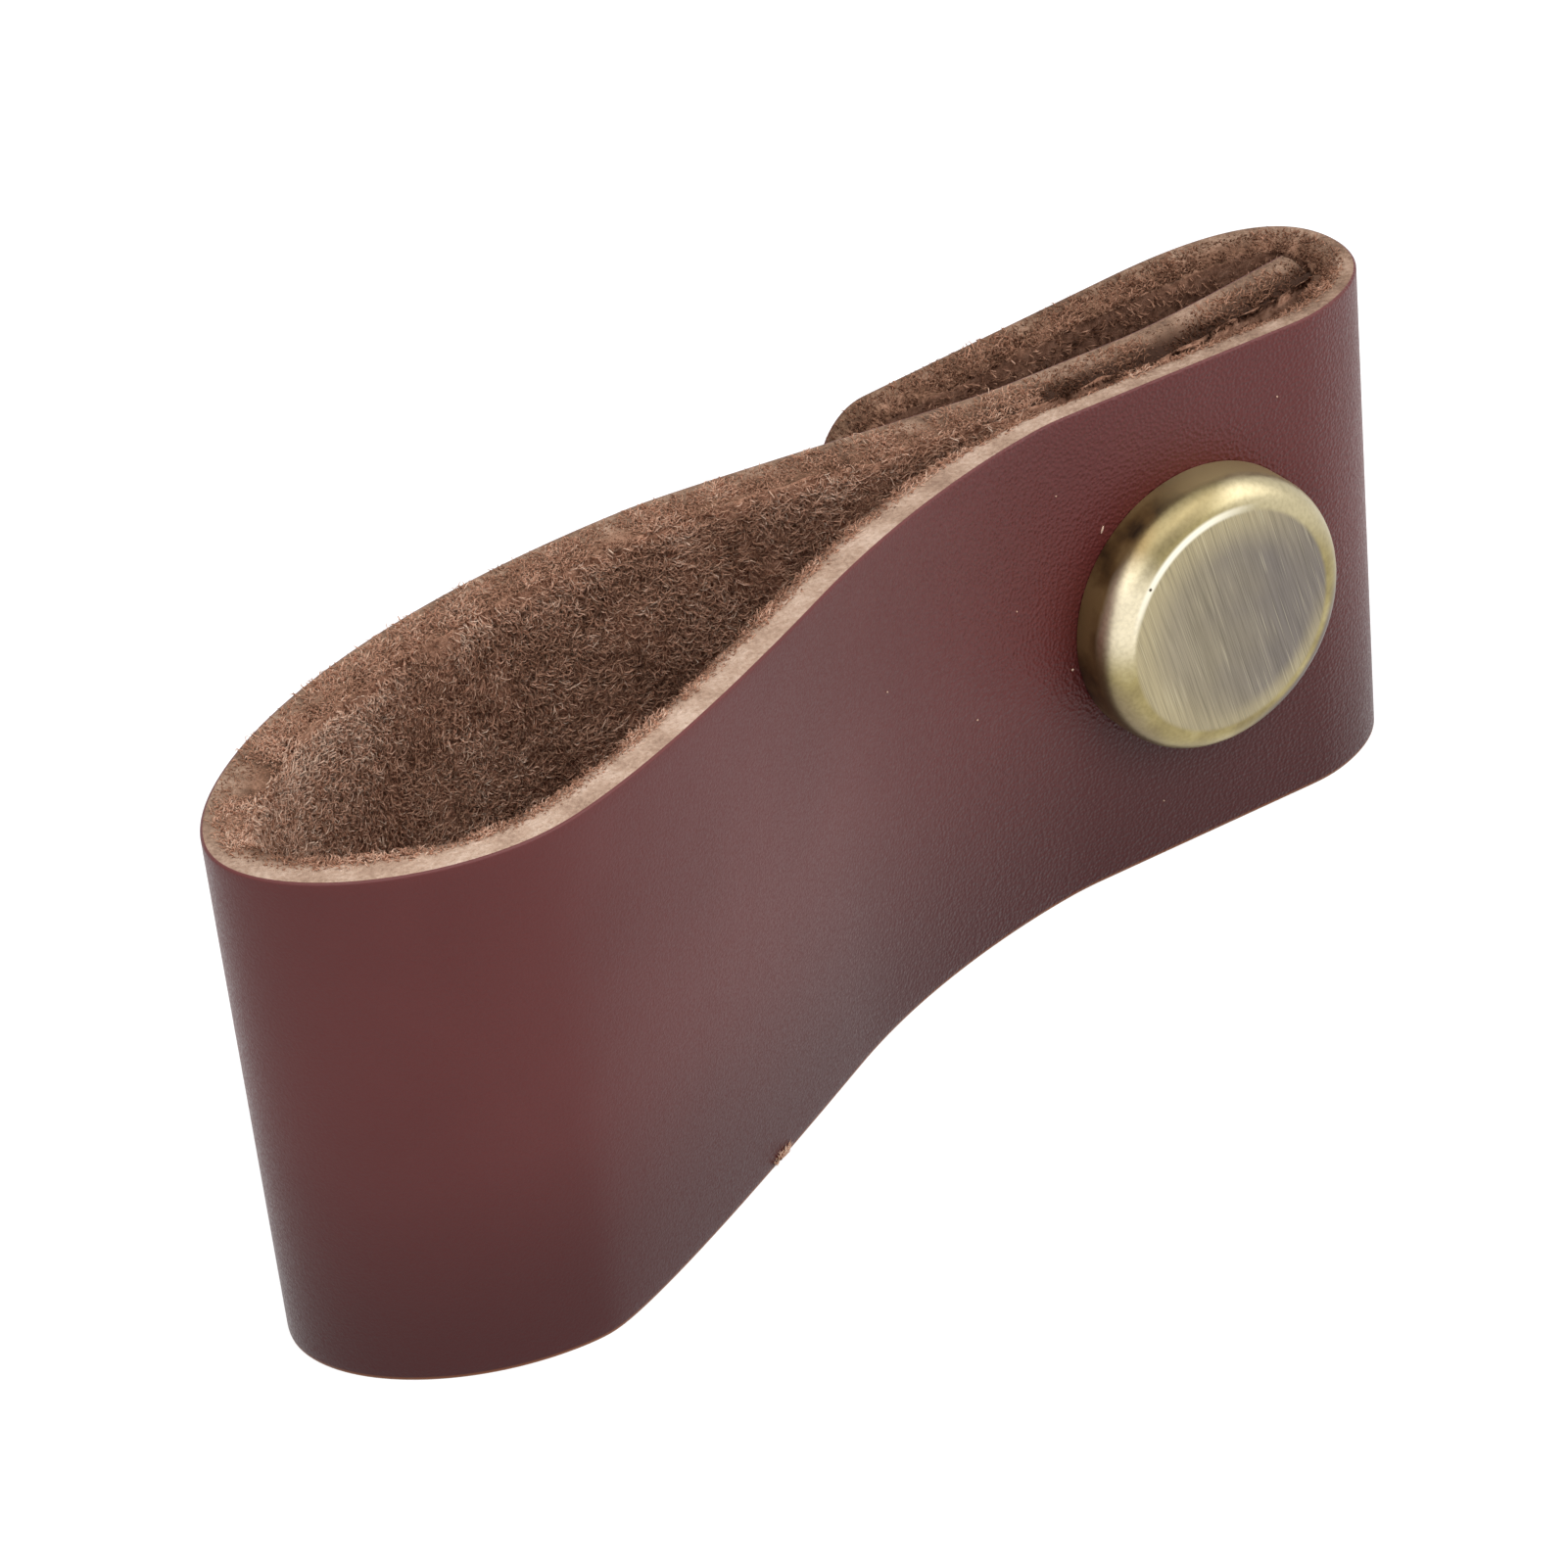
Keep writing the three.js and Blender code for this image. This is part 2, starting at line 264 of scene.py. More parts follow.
def on_strap(s, height, depth):
    """A point of the hide: path place s, raised by height, sunk by depth below the grain face."""
    s, height, depth = np.broadcast_arrays(s, height, depth)
    foot, top, out = (
        np.stack([np.interp(s, ALONG, table[:, i]) for i in (0, 1)], axis=-1)
        for table in (LOWER, UPPER, OUTWARD)
    )
    out = out / np.linalg.norm(out, axis=-1, keepdims=True)
    flat = foot + (top - foot) * (height / STRAP_WIDTH)[..., None] - out * depth[..., None]
    return np.stack([flat[..., 0] + AXIS_X, flat[..., 1] + SEAT_Y, height], axis=-1)


def place_of(x, low, high):
    """The path place between two places where the middle of the strap passes a given x."""
    part = (ALONG >= low) & (ALONG <= high)
    middle = (LOWER[part, 0] + UPPER[part, 0]) / 2
    return float(ALONG[part][np.argmin(np.abs(middle - x))])


# %% Named places, and what changes from place to place
FLAP_PLACE = place_of(0, 0, 40)
SEAT_PLACE = place_of(0, 40, 80)
TUCK_PLACE = place_of(0, LENGTH - 30, LENGTH)
NOSE_PLACE = place_of(-NOSE_REACH + 0.05, 80, 160)


def by_place(*rows):
    """Rows of (path place, value) as the two lists that np.interp reads a value from."""
    return [list(column) for column in zip(*rows)]


# How pale the cut edge is along the path: palest along the front of the loop
PALENESS = by_place(
    (0, 0.0), (SEAT_PLACE - 18, 0.2), (SEAT_PLACE - 8, 0.45), (SEAT_PLACE + 6, 0.75),
    (NOSE_PLACE - 10, 1.0), (NOSE_PLACE + 8, 0.22), (LENGTH, 0.22))
# Where two layers face each other, the loose part of the cut lies in a groove, painted dark as its shade
GROOVE_SHADE = by_place(
    (SEAT_PLACE - 18, 0.0), (SEAT_PLACE - 11, 1.0), (SEAT_PLACE + 8, 1.0), (SEAT_PLACE + 20, 0.0),
    (TUCK_PLACE - 16, 0.0), (TUCK_PLACE - 9, 1.0))
# The share of the hide's thickness, from the grain, where the cut edge is still firm and smooth
FIRM = by_place(
    (0, 0.15), (SEAT_PLACE - 18, 0.3), (SEAT_PLACE - 8, 0.4), (SEAT_PLACE + 20, 0.6),
    (NOSE_PLACE - 10, 0.6), (NOSE_PLACE + 8, 0.12), (LENGTH, 0.3))
# How far the loose part has sunk at the flesh side, in millimetres: least along the loop's front
SUNK = by_place(
    (0, 0.5), (SEAT_PLACE - 14, 0.5), (SEAT_PLACE - 8, 1.1), (SEAT_PLACE + 8, 1.0),
    (SEAT_PLACE + 18, 0.25), (NOSE_PLACE - 8, 0.25), (NOSE_PLACE + 8, 0.5),
    (TUCK_PLACE - 8, 0.5), (TUCK_PLACE, 0.9), (LENGTH, 0.9))
print("places: flap", FLAP_PLACE, "seat", SEAT_PLACE, "nose", NOSE_PLACE, "tuck", TUCK_PLACE)


# %% [markdown]
# ## Finish: the grain side
#
# The outside of the hide is full-grain leather, dyed oxblood brown and finished with a pigment
# coat. The coat gives a soft, wide sheen, and the grain shows as fine pebbles, which are coarsest
# round the button and pressed nearly flat on the loop. A photograph of leather could be wrapped
# round the strap, but patterns worked out in space stay sharp close up. A smooth cell pattern
# gives the pebbles, a fine noise the pores, and two slow noises the hide's waves and the cloudy
# dye. The hide's own UV map, in millimetres along and across the strap, says where the pebbles
# fade and where shade is painted into the dye: in a ring round the button's foot and along the
# lower part of the strap.

# %% Full-grain leather with a pigment coat
def grain_leather():
    """Dyed full-grain leather. Pebbles are 0.22 mm across, with pores of 0.13 mm between them."""
    material, tree = new_material("full_grain_leather")
    place = add_node(tree, "TexCoord").outputs["Object"]
    track = add_node(tree, "UVMap", uv_map="hide")
    along = add_node(tree, "SeparateXYZ", {"Vector": track})
    pebble = add_node(tree, "TexVoronoi", {
        "Vector": place, "Scale": 1 / (0.22 * MM), "Smoothness": 0.3}, feature="SMOOTH_F1")
    pores = add_node(tree, "TexNoise", {"Vector": place, "Scale": 1 / (0.13 * MM), "Detail": 2.0})
    waves = add_node(tree, "TexNoise", {"Vector": place, "Scale": 1 / (4 * MM), "Detail": 2.0})
    dye = add_node(tree, "TexNoise", {"Vector": place, "Scale": 1 / (9 * MM), "Detail": 7.0})
    # the pebbles stand out round the button and fade along the loop
    coarse_part = add_node(tree, "MapRange", {
        "Value": along.outputs["X"], "From Min": SEAT_PLACE + 36, "From Max": SEAT_PLACE + 8,
        "To Min": 0.1, "To Max": 0.9}, interpolation_type="SMOOTHSTEP")
    fine = add_node(tree, "Bump", {"Strength": 0.6, "Distance": 0.03 * MM, "Height": pores})
    coarse = add_node(tree, "Bump", {
        "Strength": coarse_part, "Distance": 0.07 * MM, "Height": pebble, "Normal": fine})
    slow = add_node(tree, "Bump", {
        "Strength": 0.2, "Distance": 0.1 * MM, "Height": waves, "Normal": coarse})
    colour = add_node(tree, "ValToRGB", {"Fac": dye}, stops=[(0.32, "#5a2a29"), (0.68, "#5f2e2d")])
    # darker and redder in a ring round the button's foot: painted shade
    near = add_node(tree, "VectorMath", {0: track, 1: (SEAT_PLACE, AXIS_Z, 0)}, operation="DISTANCE")
    tight_and_shaded = add_node(tree, "MapRange", {
        "Value": near, "From Min": 7.5, "From Max": 12.0, "To Min": 0.5, "To Max": 0.0},
        interpolation_type="SMOOTHSTEP")
    shaded_round_button = add_node(tree, "Mix", {0: tight_and_shaded, 6: colour, 7: linear("#4f1815")}, data_type="RGBA")
    # darker towards the lower part of the strap: painted shade; the edge itself is rubbed down to the undyed
    # hide
    low_shade_share = add_node(tree, "MapRange", {
        "Value": along.outputs["Y"], "From Min": 0.0, "From Max": 17.0, "To Min": 0.75, "To Max": 0.0},
        interpolation_type="SMOOTHSTEP")
    shaded_low = add_node(tree, "Mix", {0: low_shade_share, 6: shaded_round_button, 7: linear("#360f10")}, data_type="RGBA")
    low_edge = add_node(tree, "MapRange", {
        "Value": along.outputs["Y"], "From Min": 0.06, "From Max": 0.26, "To Min": 0.85, "To Max": 0.0})
    worn = add_node(tree, "Mix", {0: low_edge, 6: shaded_low, 7: linear("#a86b42")}, data_type="RGBA")
    # the tops of the pebbles are polished a little, which makes them sparkle
    rough = add_node(tree, "MapRange", {
        "Value": pores, "From Min": 0.35, "From Max": 0.65, "To Min": 0.5, "To Max": 0.28})
    shader = add_node(tree, "BsdfPrincipled", {
        "Base Color": worn, "Roughness": rough, "Specular IOR Level": 0.25, "Normal": slow})
    add_node(tree, "OutputMaterial", {"Surface": shader})
    return material


# %% [markdown]
# ## Finish: the cut edge and the flesh side
#
# A knife leaves the edge of the hide pale and dense near the grain, and looser and browner
# towards the flesh side. The flesh side is brushed suede: a mat of soft fibres in every shade from
# tan to dark brown. A rough, bumpy colour could stand for that mat, but its outline would stay
# smooth. So the fibres are modelled one by one further on, and the surface below them only has
# to be a lumpy brown.

# %% Raw cut edge
def cut_edge():
    """Undyed fibres seen end on. The attribute depth runs from the grain (0) to the flesh (1)."""
    material, tree = new_material("raw_cut_edge")
    place = add_node(tree, "TexCoord").outputs["Object"]
    depth = add_node(tree, "Attribute", attribute_name="depth").outputs["Fac"]
    paleness = add_node(tree, "Attribute", attribute_name="paleness").outputs["Fac"]
    groove_shade = add_node(tree, "Attribute", attribute_name="groove_shade").outputs["Fac"]
    fleck = add_node(tree, "TexNoise", {
        "Vector": place, "Scale": 1 / (0.3 * MM), "Detail": 4.0, "Roughness": 0.7})
    blotch = add_node(tree, "TexNoise", {"Vector": place, "Scale": 1 / (2.2 * MM), "Detail": 3.0})
    half = add_node(tree, "Math", {0: fleck, 1: 0.5}, operation="MULTIPLY")
    shade = add_node(tree, "Math", {0: blotch, 1: 0.5, 2: half}, operation="MULTIPLY_ADD")
    pale = add_node(tree, "ValToRGB", {"Fac": shade},
                    stops=[(0.36, "#967a68"), (0.5, "#b49884"), (0.64, "#cdb4a2")])
    brown = add_node(tree, "ValToRGB", {"Fac": shade},
                     stops=[(0.36, "#3f2a20"), (0.5, "#745845"), (0.64, "#9a7c68")])
    rough_hide = add_node(tree, "Mix", {0: paleness, 6: brown, 7: pale}, data_type="RGBA")
    inner = add_node(tree, "Math", {0: fleck, 1: 0.5, 2: depth}, operation="MULTIPLY_ADD")
    looser = add_node(tree, "Math", {0: paleness, 1: -0.35, 2: inner}, operation="MULTIPLY_ADD")
    inward = add_node(tree, "MapRange", {
        "Value": looser, "From Min": 0.55, "From Max": 0.95, "To Min": 0.0, "To Max": 0.95})
    flesh = add_node(tree, "ValToRGB", {"Fac": shade},
                     stops=[(0.36, "#3c271b"), (0.5, "#6e4f3d"), (0.64, "#9a7560")])
    inside = add_node(tree, "Mix", {0: inward, 6: rough_hide, 7: flesh}, data_type="RGBA")
    # in the groove between two layers the loose part of the cut is painted dark: painted shade
    groove_shade_share = add_node(tree, "MapRange", {
        "Value": looser, "From Min": 0.55, "From Max": 0.95, "To Min": 0.0, "To Max": groove_shade})
    colour = add_node(tree, "Mix", {0: groove_shade_share, 6: inside, 7: linear("#38241a")}, data_type="RGBA")
    bump = add_node(tree, "Bump", {"Strength": 0.9, "Distance": 0.2 * MM, "Height": fleck})
    shader = add_node(tree, "BsdfPrincipled", {
        "Base Color": colour, "Roughness": 0.85, "Specular IOR Level": 0.15, "Normal": bump})
    add_node(tree, "OutputMaterial", {"Surface": shader})
    return material


# %% Brushed suede under the fibres, and the fibres' own finish
def suede_ground():
    """The mat below the fibres: lumps of about 0.5 mm."""
    material, tree = new_material("suede_ground")
    place = add_node(tree, "TexCoord").outputs["Object"]
    lumps = add_node(tree, "TexNoise", {
        "Vector": place, "Scale": 1 / (0.5 * MM), "Detail": 5.0, "Roughness": 0.7})
    lit = add_node(tree, "ValToRGB", {"Fac": lumps},
                   stops=[(0.3, "#5a3a2b"), (0.5, "#976f5a"), (0.7, "#ba9079")])
    # darker on the flap and the fold, which lie in the narrow space round the tucked end: painted shade
    along = add_node(tree, "SeparateXYZ", {"Vector": add_node(tree, "UVMap", uv_map="hide")})
    gap_shade_share = add_node(tree, "MapRange", {
        "Value": along.outputs["X"], "From Min": SEAT_PLACE + 14, "From Max": SEAT_PLACE - 4, "To Max": 0.6},
        interpolation_type="SMOOTHSTEP")
    colour = add_node(tree, "Mix", {0: gap_shade_share, 6: lit, 7: linear("#50362a")}, data_type="RGBA")
    bump = add_node(tree, "Bump", {"Strength": 1.0, "Distance": 0.2 * MM, "Height": lumps})
    shader = add_node(tree, "BsdfPrincipled", {
        "Base Color": colour, "Roughness": 0.95, "Specular IOR Level": 0.1, "Normal": bump})
    add_node(tree, "OutputMaterial", {"Surface": shader})
    return material


def suede_fibre():
    """Single fibres. The attribute tone is 0 for the darkest and 1 for the palest ones."""
    material, tree = new_material("suede_fibre")
    tone = add_node(tree, "Attribute", attribute_name="tone").outputs["Fac"]
    colour = add_node(tree, "ValToRGB", {"Fac": tone},
                      stops=[(0.0, "#6d4937"), (0.35, "#b2866d"), (0.7, "#d9ae94"), (1.0, "#f0d6c1")])
    skin = add_node(tree, "BsdfPrincipled", {
        "Base Color": colour, "Roughness": 0.8, "Specular IOR Level": 0.15})
    through = add_node(tree, "BsdfTranslucent", {"Color": colour})
    shader = add_node(tree, "MixShader", {0: 0.45, 1: skin, 2: through})
    add_node(tree, "OutputMaterial", {"Surface": shader})
    return material


GRAIN, EDGE, GROUND = grain_leather(), cut_edge(), suede_ground()
FIBRE = suede_fibre()
print("leather finishes:", GRAIN.name, EDGE.name, GROUND.name, FIBRE.name)


# %% [markdown]
# ## The hide
#
# The strap is a section carried along its path. A flat strip could be bent with a Curve modifier,
# but then nothing would say which part is grain, cut or flesh. Here each point of the section
# carries that with it. The section is a thin upright rectangle: smooth grain on one side, lumpy
# flesh on the other, and two cut edges whose grain corner is worn round. At the flap's end the
# section gets shorter, which rounds the flap's two corners, and at both ends it narrows to a slit
# in its own plane, which closes the surface with a flat cut.

# %% The section and the rings along the path
FACE_COUNT, CORNER_COUNT, EDGE_COUNT = 46, 4, 9
RING_STEP = 0.42
ON_GRAIN, ON_CUT, ON_FLESH = 0, 1, 2


def section_ring():
    """Points round the section: share of the height, height offset, depth and which face it is.

    They run up the grain face, over the upper corner's quarter circle, back along the upper cut,
    down the flesh face and forward along the lower cut and corner."""
    face = np.linspace(0, 1, FACE_COUNT)
    angle = np.linspace(0, math.pi / 2, CORNER_COUNT + 1)[1:]
    inset, sunk = EDGE_ROUND * (1 - np.sin(angle)), EDGE_ROUND * (1 - np.cos(angle))
    cut = np.linspace(EDGE_ROUND, LEATHER, EDGE_COUNT + 1)[1:]
    share = np.concatenate([
        face, np.ones(CORNER_COUNT + EDGE_COUNT), face[::-1][1:], np.zeros(EDGE_COUNT - 1 + CORNER_COUNT)])
    offset = np.concatenate([
        EDGE_ROUND * (1 - 2 * face), -inset, np.zeros(2 * EDGE_COUNT + FACE_COUNT - 2), inset[::-1]])
    depth = np.concatenate([
        np.zeros(FACE_COUNT), sunk, cut, np.full(FACE_COUNT - 1, LEATHER), cut[::-1][1:], sunk[::-1]])
    kind = np.repeat([ON_GRAIN, ON_CUT, ON_FLESH, ON_CUT, ON_GRAIN],
                     [FACE_COUNT - 1 + CORNER_COUNT, EDGE_COUNT, FACE_COUNT - 1, EDGE_COUNT, CORNER_COUNT])
    return share, offset, depth, kind


def ring_places():
    """Path places of the rings, closer together where the flap's corners are round."""
    corner = FLAP_CORNER * (1 - np.cos(np.linspace(0, math.pi / 2, 14)))
    rest = np.linspace(FLAP_CORNER, LENGTH, int((LENGTH - FLAP_CORNER) / RING_STEP))
    return np.concatenate([corner, rest[1:]])


def corner_cut(s):
    """How much of the height the flap's round corner takes away: a quarter circle's sagitta."""
    bite = np.clip(FLAP_CORNER - s, 0, None)
    return FLAP_CORNER - np.sqrt(FLAP_CORNER ** 2 - bite ** 2)


def slump(s, depth):
    """How far the cut edge has sunk: nothing near the grain, then a power curve to the flesh side."""
    firm = np.interp(s, *FIRM)
    loose = np.clip((depth / LEATHER - firm) / (1 - firm), 0, 1)
    return np.interp(s, *SUNK) * loose ** 1.6


print("section points", len(section_ring()[0]), "rings", len(ring_places()))

# %% The hide's surface
LUMP, RAG = 0.07, 0.2
CLOSING = (0.03, 0.25, 0.6)


def hide_surface():
    """Points (rings, section, 3), face kinds, and the path place, height and depth of each point.

    The height is the section's share of the strap's width, less the slump of a cut, which a noise
    makes ragged. Three more rings at each end repeat the last one, squeezed towards its middle."""
    share, offset, depth, kind = section_ring()
    places = ring_places()
    cut = corner_cut(places)[:, None]
    height = cut + (STRAP_WIDTH - 2 * cut) * share + offset
    depths = np.broadcast_to(depth, height.shape).copy()
    fleshward = np.clip((depths - EDGE_ROUND) / (LEATHER - EDGE_ROUND), 0, 1)
    lumps = soft_noise(height.shape, (1.3, 1.3), SEED)
    rag = soft_noise(height.shape, (1.0, 0.8), SEED + 1)
    on_flesh = depths > LEATHER - 1e-6
    depths += np.where(on_flesh, LUMP * np.clip(lumps, -2, 2), 0)
    is_cut = (share > 1 - 1e-9) | (share < 1e-9)
    sign = np.where(share > 0.5, 1, -1)
    ragged = slump(places[:, None], depths) * (1 + RAG * np.clip(rag, -2, 2))
    height = np.clip(height - np.where(is_cut, sign * ragged, 0), 0.0, STRAP_WIDTH + 0.1)
    extra = len(CLOSING)
    ring = np.r_[[0] * extra, 0:len(places), [-1] * extra]
    squeeze = np.r_[CLOSING, np.ones(len(places)), CLOSING[::-1]][:, None]
    middle = LEATHER / 2
    depths = np.where(squeeze < 1, middle + (depths[ring] - middle) * squeeze, depths[ring])
    rings = on_strap(places[ring][:, None], height[ring], depths)
    kinds = np.tile(kind, (len(ring) - 1, 1))
    kinds[:extra], kinds[-extra:] = ON_CUT, ON_CUT
    track = np.stack(np.broadcast_arrays(places[ring][:, None], height[ring]), axis=-1)
    return rings, kinds, track, fleshward[ring]


# %% The hide as a mesh
def close_ends(mesh, around):
    """Fills the narrow slit that is left at both ends of the surface."""
    total = len(mesh.vertices)
    shape = bmesh.new()
    shape.from_mesh(mesh)
    shape.verts.ensure_lookup_table()
    for end in (range(around - 1, -1, -1), range(total - around, total)):
        face = shape.faces.new([shape.verts[i] for i in end])
        face.material_index = ON_CUT
    bmesh.ops.recalc_face_normals(shape, faces=shape.faces)
    shape.to_mesh(mesh)
    shape.free()


def make_hide():
    """The whole strap as one closed mesh with three finishes."""
    rings, kinds, track, deep = hide_surface()
    count, around = rings.shape[:2]
    row = np.arange(count - 1)[:, None] * around
    here, beside = row + np.arange(around), row + (np.arange(around) + 1) % around
    quads = np.stack([here, beside, beside + around, here + around], axis=-1).reshape(-1, 4)
    piece = build_mesh("strap_hide", rings.reshape(-1, 3), quads)
    for finish in (GRAIN, EDGE, GROUND):
        piece.data.materials.append(finish)
    piece.data.polygons.foreach_set("material_index", kinds.astype(np.int32).ravel())
    layer = piece.data.uv_layers.new(name="hide")
    corners = np.empty(len(piece.data.loops), dtype=np.int32)
    piece.data.loops.foreach_get("vertex_index", corners)
    layer.data.foreach_set("uv", track.reshape(-1, 2)[corners].astype(np.float32).ravel())
    add_attribute(piece, "depth", deep.ravel())
    for name, values in (("paleness", PALENESS), ("groove_shade", GROOVE_SHADE)):
        add_attribute(piece, name, np.interp(track[..., 0].ravel(), *values))
    close_ends(piece.data, around)
    return piece


hide = make_hide()
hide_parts("leather_strap")
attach(hide, ROOT)
print("strap_hide:", len(hide.data.polygons), "faces")


# %% [markdown]
# ## Nap
#
# Suede looks soft because each fibre catches the light by itself. A hair system could grow the
# nap, but its strands aren't part of the mesh, so every fibre here is a thin closed cone with one
# bend. It leaves the flesh side at a slant, then lies over in the direction that the nap was
# brushed in, which drifts slowly from place to place.

# %% Fibres as thin cones
FIBRE_POINTS = 7


def cones(paths, radius):
    """Closed three-sided cones along paths (n, 3 knots, 3): a base, a bend and a tip.

    Each knot but the tip carries a triangle square to the path; the tip is a single point."""
    count = len(paths)
    tangent = np.stack([paths[:, 1] - paths[:, 0], paths[:, 2] - paths[:, 0]], axis=1)
    tangent /= np.linalg.norm(tangent, axis=-1, keepdims=True) + 1e-9
    helper = np.where(np.abs(tangent[..., 2:]) > 0.9, [1.0, 0, 0], [0, 0, 1.0])
    side = np.cross(tangent, helper)
    side /= np.linalg.norm(side, axis=-1, keepdims=True) + 1e-9
    other = np.cross(tangent, side)
    angles = np.arange(3) * 2 * math.pi / 3
    ring = np.cos(angles)[:, None] * side[:, :, None] + np.sin(angles)[:, None] * other[:, :, None]
    sized = ring * (radius[:, None] * [1.0, 0.8])[..., None, None]
    skin = (paths[:, :2, None] + sized).reshape(count, 6, 3)
    points = np.concatenate([skin, paths[:, 2:]], axis=1)
    faces = [[0, 1, 2]]
    faces += [[i, i + 3, (i + 1) % 3] for i in range(3)]
    faces += [[(i + 1) % 3, i + 3, (i + 1) % 3 + 3] for i in range(3)]
    faces += [[i + 3, 6, (i + 1) % 3 + 3] for i in range(3)]
    faces = (np.array(faces)[None] + (np.arange(count) * FIBRE_POINTS)[:, None, None]).reshape(-1, 3)
    return points.reshape(-1, 3), faces


# %% Slow fields, and the fibres as one piece
DRIFT_STEP = 0.5
FIELD = (int(LENGTH / DRIFT_STEP) + 2, int(STRAP_WIDTH / DRIFT_STEP) + 2)
drift = soft_noise(FIELD, (4, 4), SEED + 2)
shade = soft_noise(FIELD, (2.2, 2.2), SEED + 3)
clump = soft_noise(FIELD, (1.1, 1.1), SEED + 4)


def on_grid(field, s, height):
    """A slow field looked up at path places and heights, blended between its four nearest values."""
    i = np.clip(s / DRIFT_STEP, 0, field.shape[0] - 1.001)
    j = np.clip(height / DRIFT_STEP, 0, field.shape[1] - 1.001)
    a, b = i.astype(int), j.astype(int)
    u, v = i - a, j - b
    return (field[a, b] * (1 - u) * (1 - v) + field[a + 1, b] * u * (1 - v)
            + field[a, b + 1] * (1 - u) * v + field[a + 1, b + 1] * u * v)


def fibres(name, knots, radius, tone):
    """One piece of fibres. knots (n, 3, 3) holds path place, height and depth of each knot."""
    knots[..., 0] = np.clip(knots[..., 0], 0.05, LENGTH - 0.05)
    points, faces = cones(on_strap(knots[..., 0], knots[..., 1], knots[..., 2]), radius)
    piece = build_mesh(name, points, faces)
    piece.data.materials.append(FIBRE)
    add_attribute(piece, "tone", np.repeat(np.clip(tone, 0, 1), FIBRE_POINTS))
    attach(piece, ROOT)
    print(name, len(tone), "fibres")
    return piece


# %% The nap on the flesh side
HOLE_CLEAR = 4.2
TUFT_LIMIT = 1.6
NAP_TOP = STRAP_WIDTH - 0.35


def bent(root, size, way, turn, first, second):
    """Three knots of each fibre. The root takes half its size along way, then half turned by turn.

    first and second give how far each half rises from the hide."""
    knots = np.empty((len(size), 3, 3))
    knots[:, 0] = np.stack(root, -1)
    knots[:, 1] = knots[:, 0] + np.stack([0.5 * size * np.cos(way), 0.5 * size * np.sin(way), first], -1)
    knots[:, 2] = knots[:, 1] + np.stack([
        0.5 * size * np.cos(way + turn), 0.5 * size * np.sin(way + turn), second], -1)
    return knots


def nap(name, count, low, high, seed, floor=0.15, ceiling=NAP_TOP, length=1.35, rise=0.28, shift=0.0):
    """Fibres rooted at random on the flesh side between two path places and two heights.

    Each lies the way of a slow field plus a random turn, shorter near the upper edge. Its tone is a middle
    value plus slow, tufted and random parts, paler near the upper edge, and paler round the loop's nose as
    painted light."""
    draw = np.random.default_rng(seed)
    s = draw.uniform(low, high, count)
    height = draw.uniform(floor, ceiling, count)
    height -= np.clip(height - ceiling + 1.2, 0, None) * draw.uniform(0, 1, count) ** 2
    margin = corner_cut(s) + 0.1
    clear = (height > margin) & (height < STRAP_WIDTH - margin)
    for middle in (FLAP_PLACE, SEAT_PLACE, TUCK_PLACE):
        clear &= np.hypot(s - middle, height - AXIS_Z) > HOLE_CLEAR
    s, height = s[clear], height[clear]
    count = len(s)
    tuft = np.clip(on_grid(clump, s, height), -TUFT_LIMIT, TUFT_LIMIT)
    way = on_grid(drift, s, height) * 0.9 + draw.normal(0, 1.0, count) - 0.5
    turn = draw.normal(0, 0.9, count)
    near_edge = np.clip((height - (ceiling - 1.5)) / 1.5, 0, 1)
    size = length * draw.uniform(0.5, 1.2, count) * (1 - 0.55 * near_edge)
    lift = rise * (1 + 0.15 * tuft) * draw.uniform(0.35, 1.15, count)
    knots = bent((s, height, np.full(count, LEATHER - 0.12)), size, way, turn, 0.12 + lift, -0.25 * lift)
    knots[..., 1] = np.clip(knots[..., 1], 0.05, ceiling + 0.25)
    near_top = np.clip((height - (STRAP_WIDTH - 6)) / 6, 0, 1)
    # the loop's nose is paler because its inner wall faces the light: painted light
    nose_light = np.exp(-((s - NOSE_PLACE) / 17) ** 2)
    tone = (0.485 + shift + 0.04 * on_grid(shade, s, height) + 0.08 * tuft + 0.18 * draw.normal(size=count)
            + 0.16 * near_top ** 2 + 0.3 * nose_light)
    return fibres(name, knots, draw.uniform(0.03, 0.055, count), tone)


# the back of the loop shows most and takes 42,500 fibres, in three pieces so that none is too heavy
BACK = np.linspace(NOSE_PLACE + 4, TUCK_PLACE - 7, 4)
for part, count in enumerate((14500, 14500, 13500)):
    nap(f"nap_back_{part + 1}", count, BACK[part], BACK[part + 1], SEED + 10 + part,
        floor=12, ceiling=STRAP_WIDTH - 0.45)
nap("nap_loop_front", 4500, SEAT_PLACE + 8, NOSE_PLACE + 4, SEED + 13)
nap("nap_loop_low", 2000, BACK[0], BACK[-1], SEED + 14)
# the flap's nap is darker by its shift: painted shade in the narrow space behind the tucked layer
nap("nap_flap", 8000, 0.3, SEAT_PLACE - 8, SEED + 20, floor=8, length=0.9, rise=0.35, shift=-0.3)
# between the layers the nap is pressed short, and it only shows from above; its darker shift is painted shade
tight_and_shaded = dict(floor=18, ceiling=STRAP_WIDTH - 1.4, length=0.8, rise=0.15, shift=-0.38)
nap("nap_seat", 2500, SEAT_PLACE - 8, SEAT_PLACE + 8, SEED + 21, **tight_and_shaded)
nap("nap_tuck", 3000, TUCK_PLACE - 7, LENGTH - 0.2, SEED + 22, **tight_and_shaded)


# %% [markdown]
# ## Frayed edges
#
# Where the knife left the flesh side, short fibres lean over the cut edge and make its inner
# line ragged. A bump in the finish could roughen the cut, but only real fibres break its outline.
# They stand on the upper edge, on the loose part of the cut, and they are thickest on the flap
# and the back of the loop.

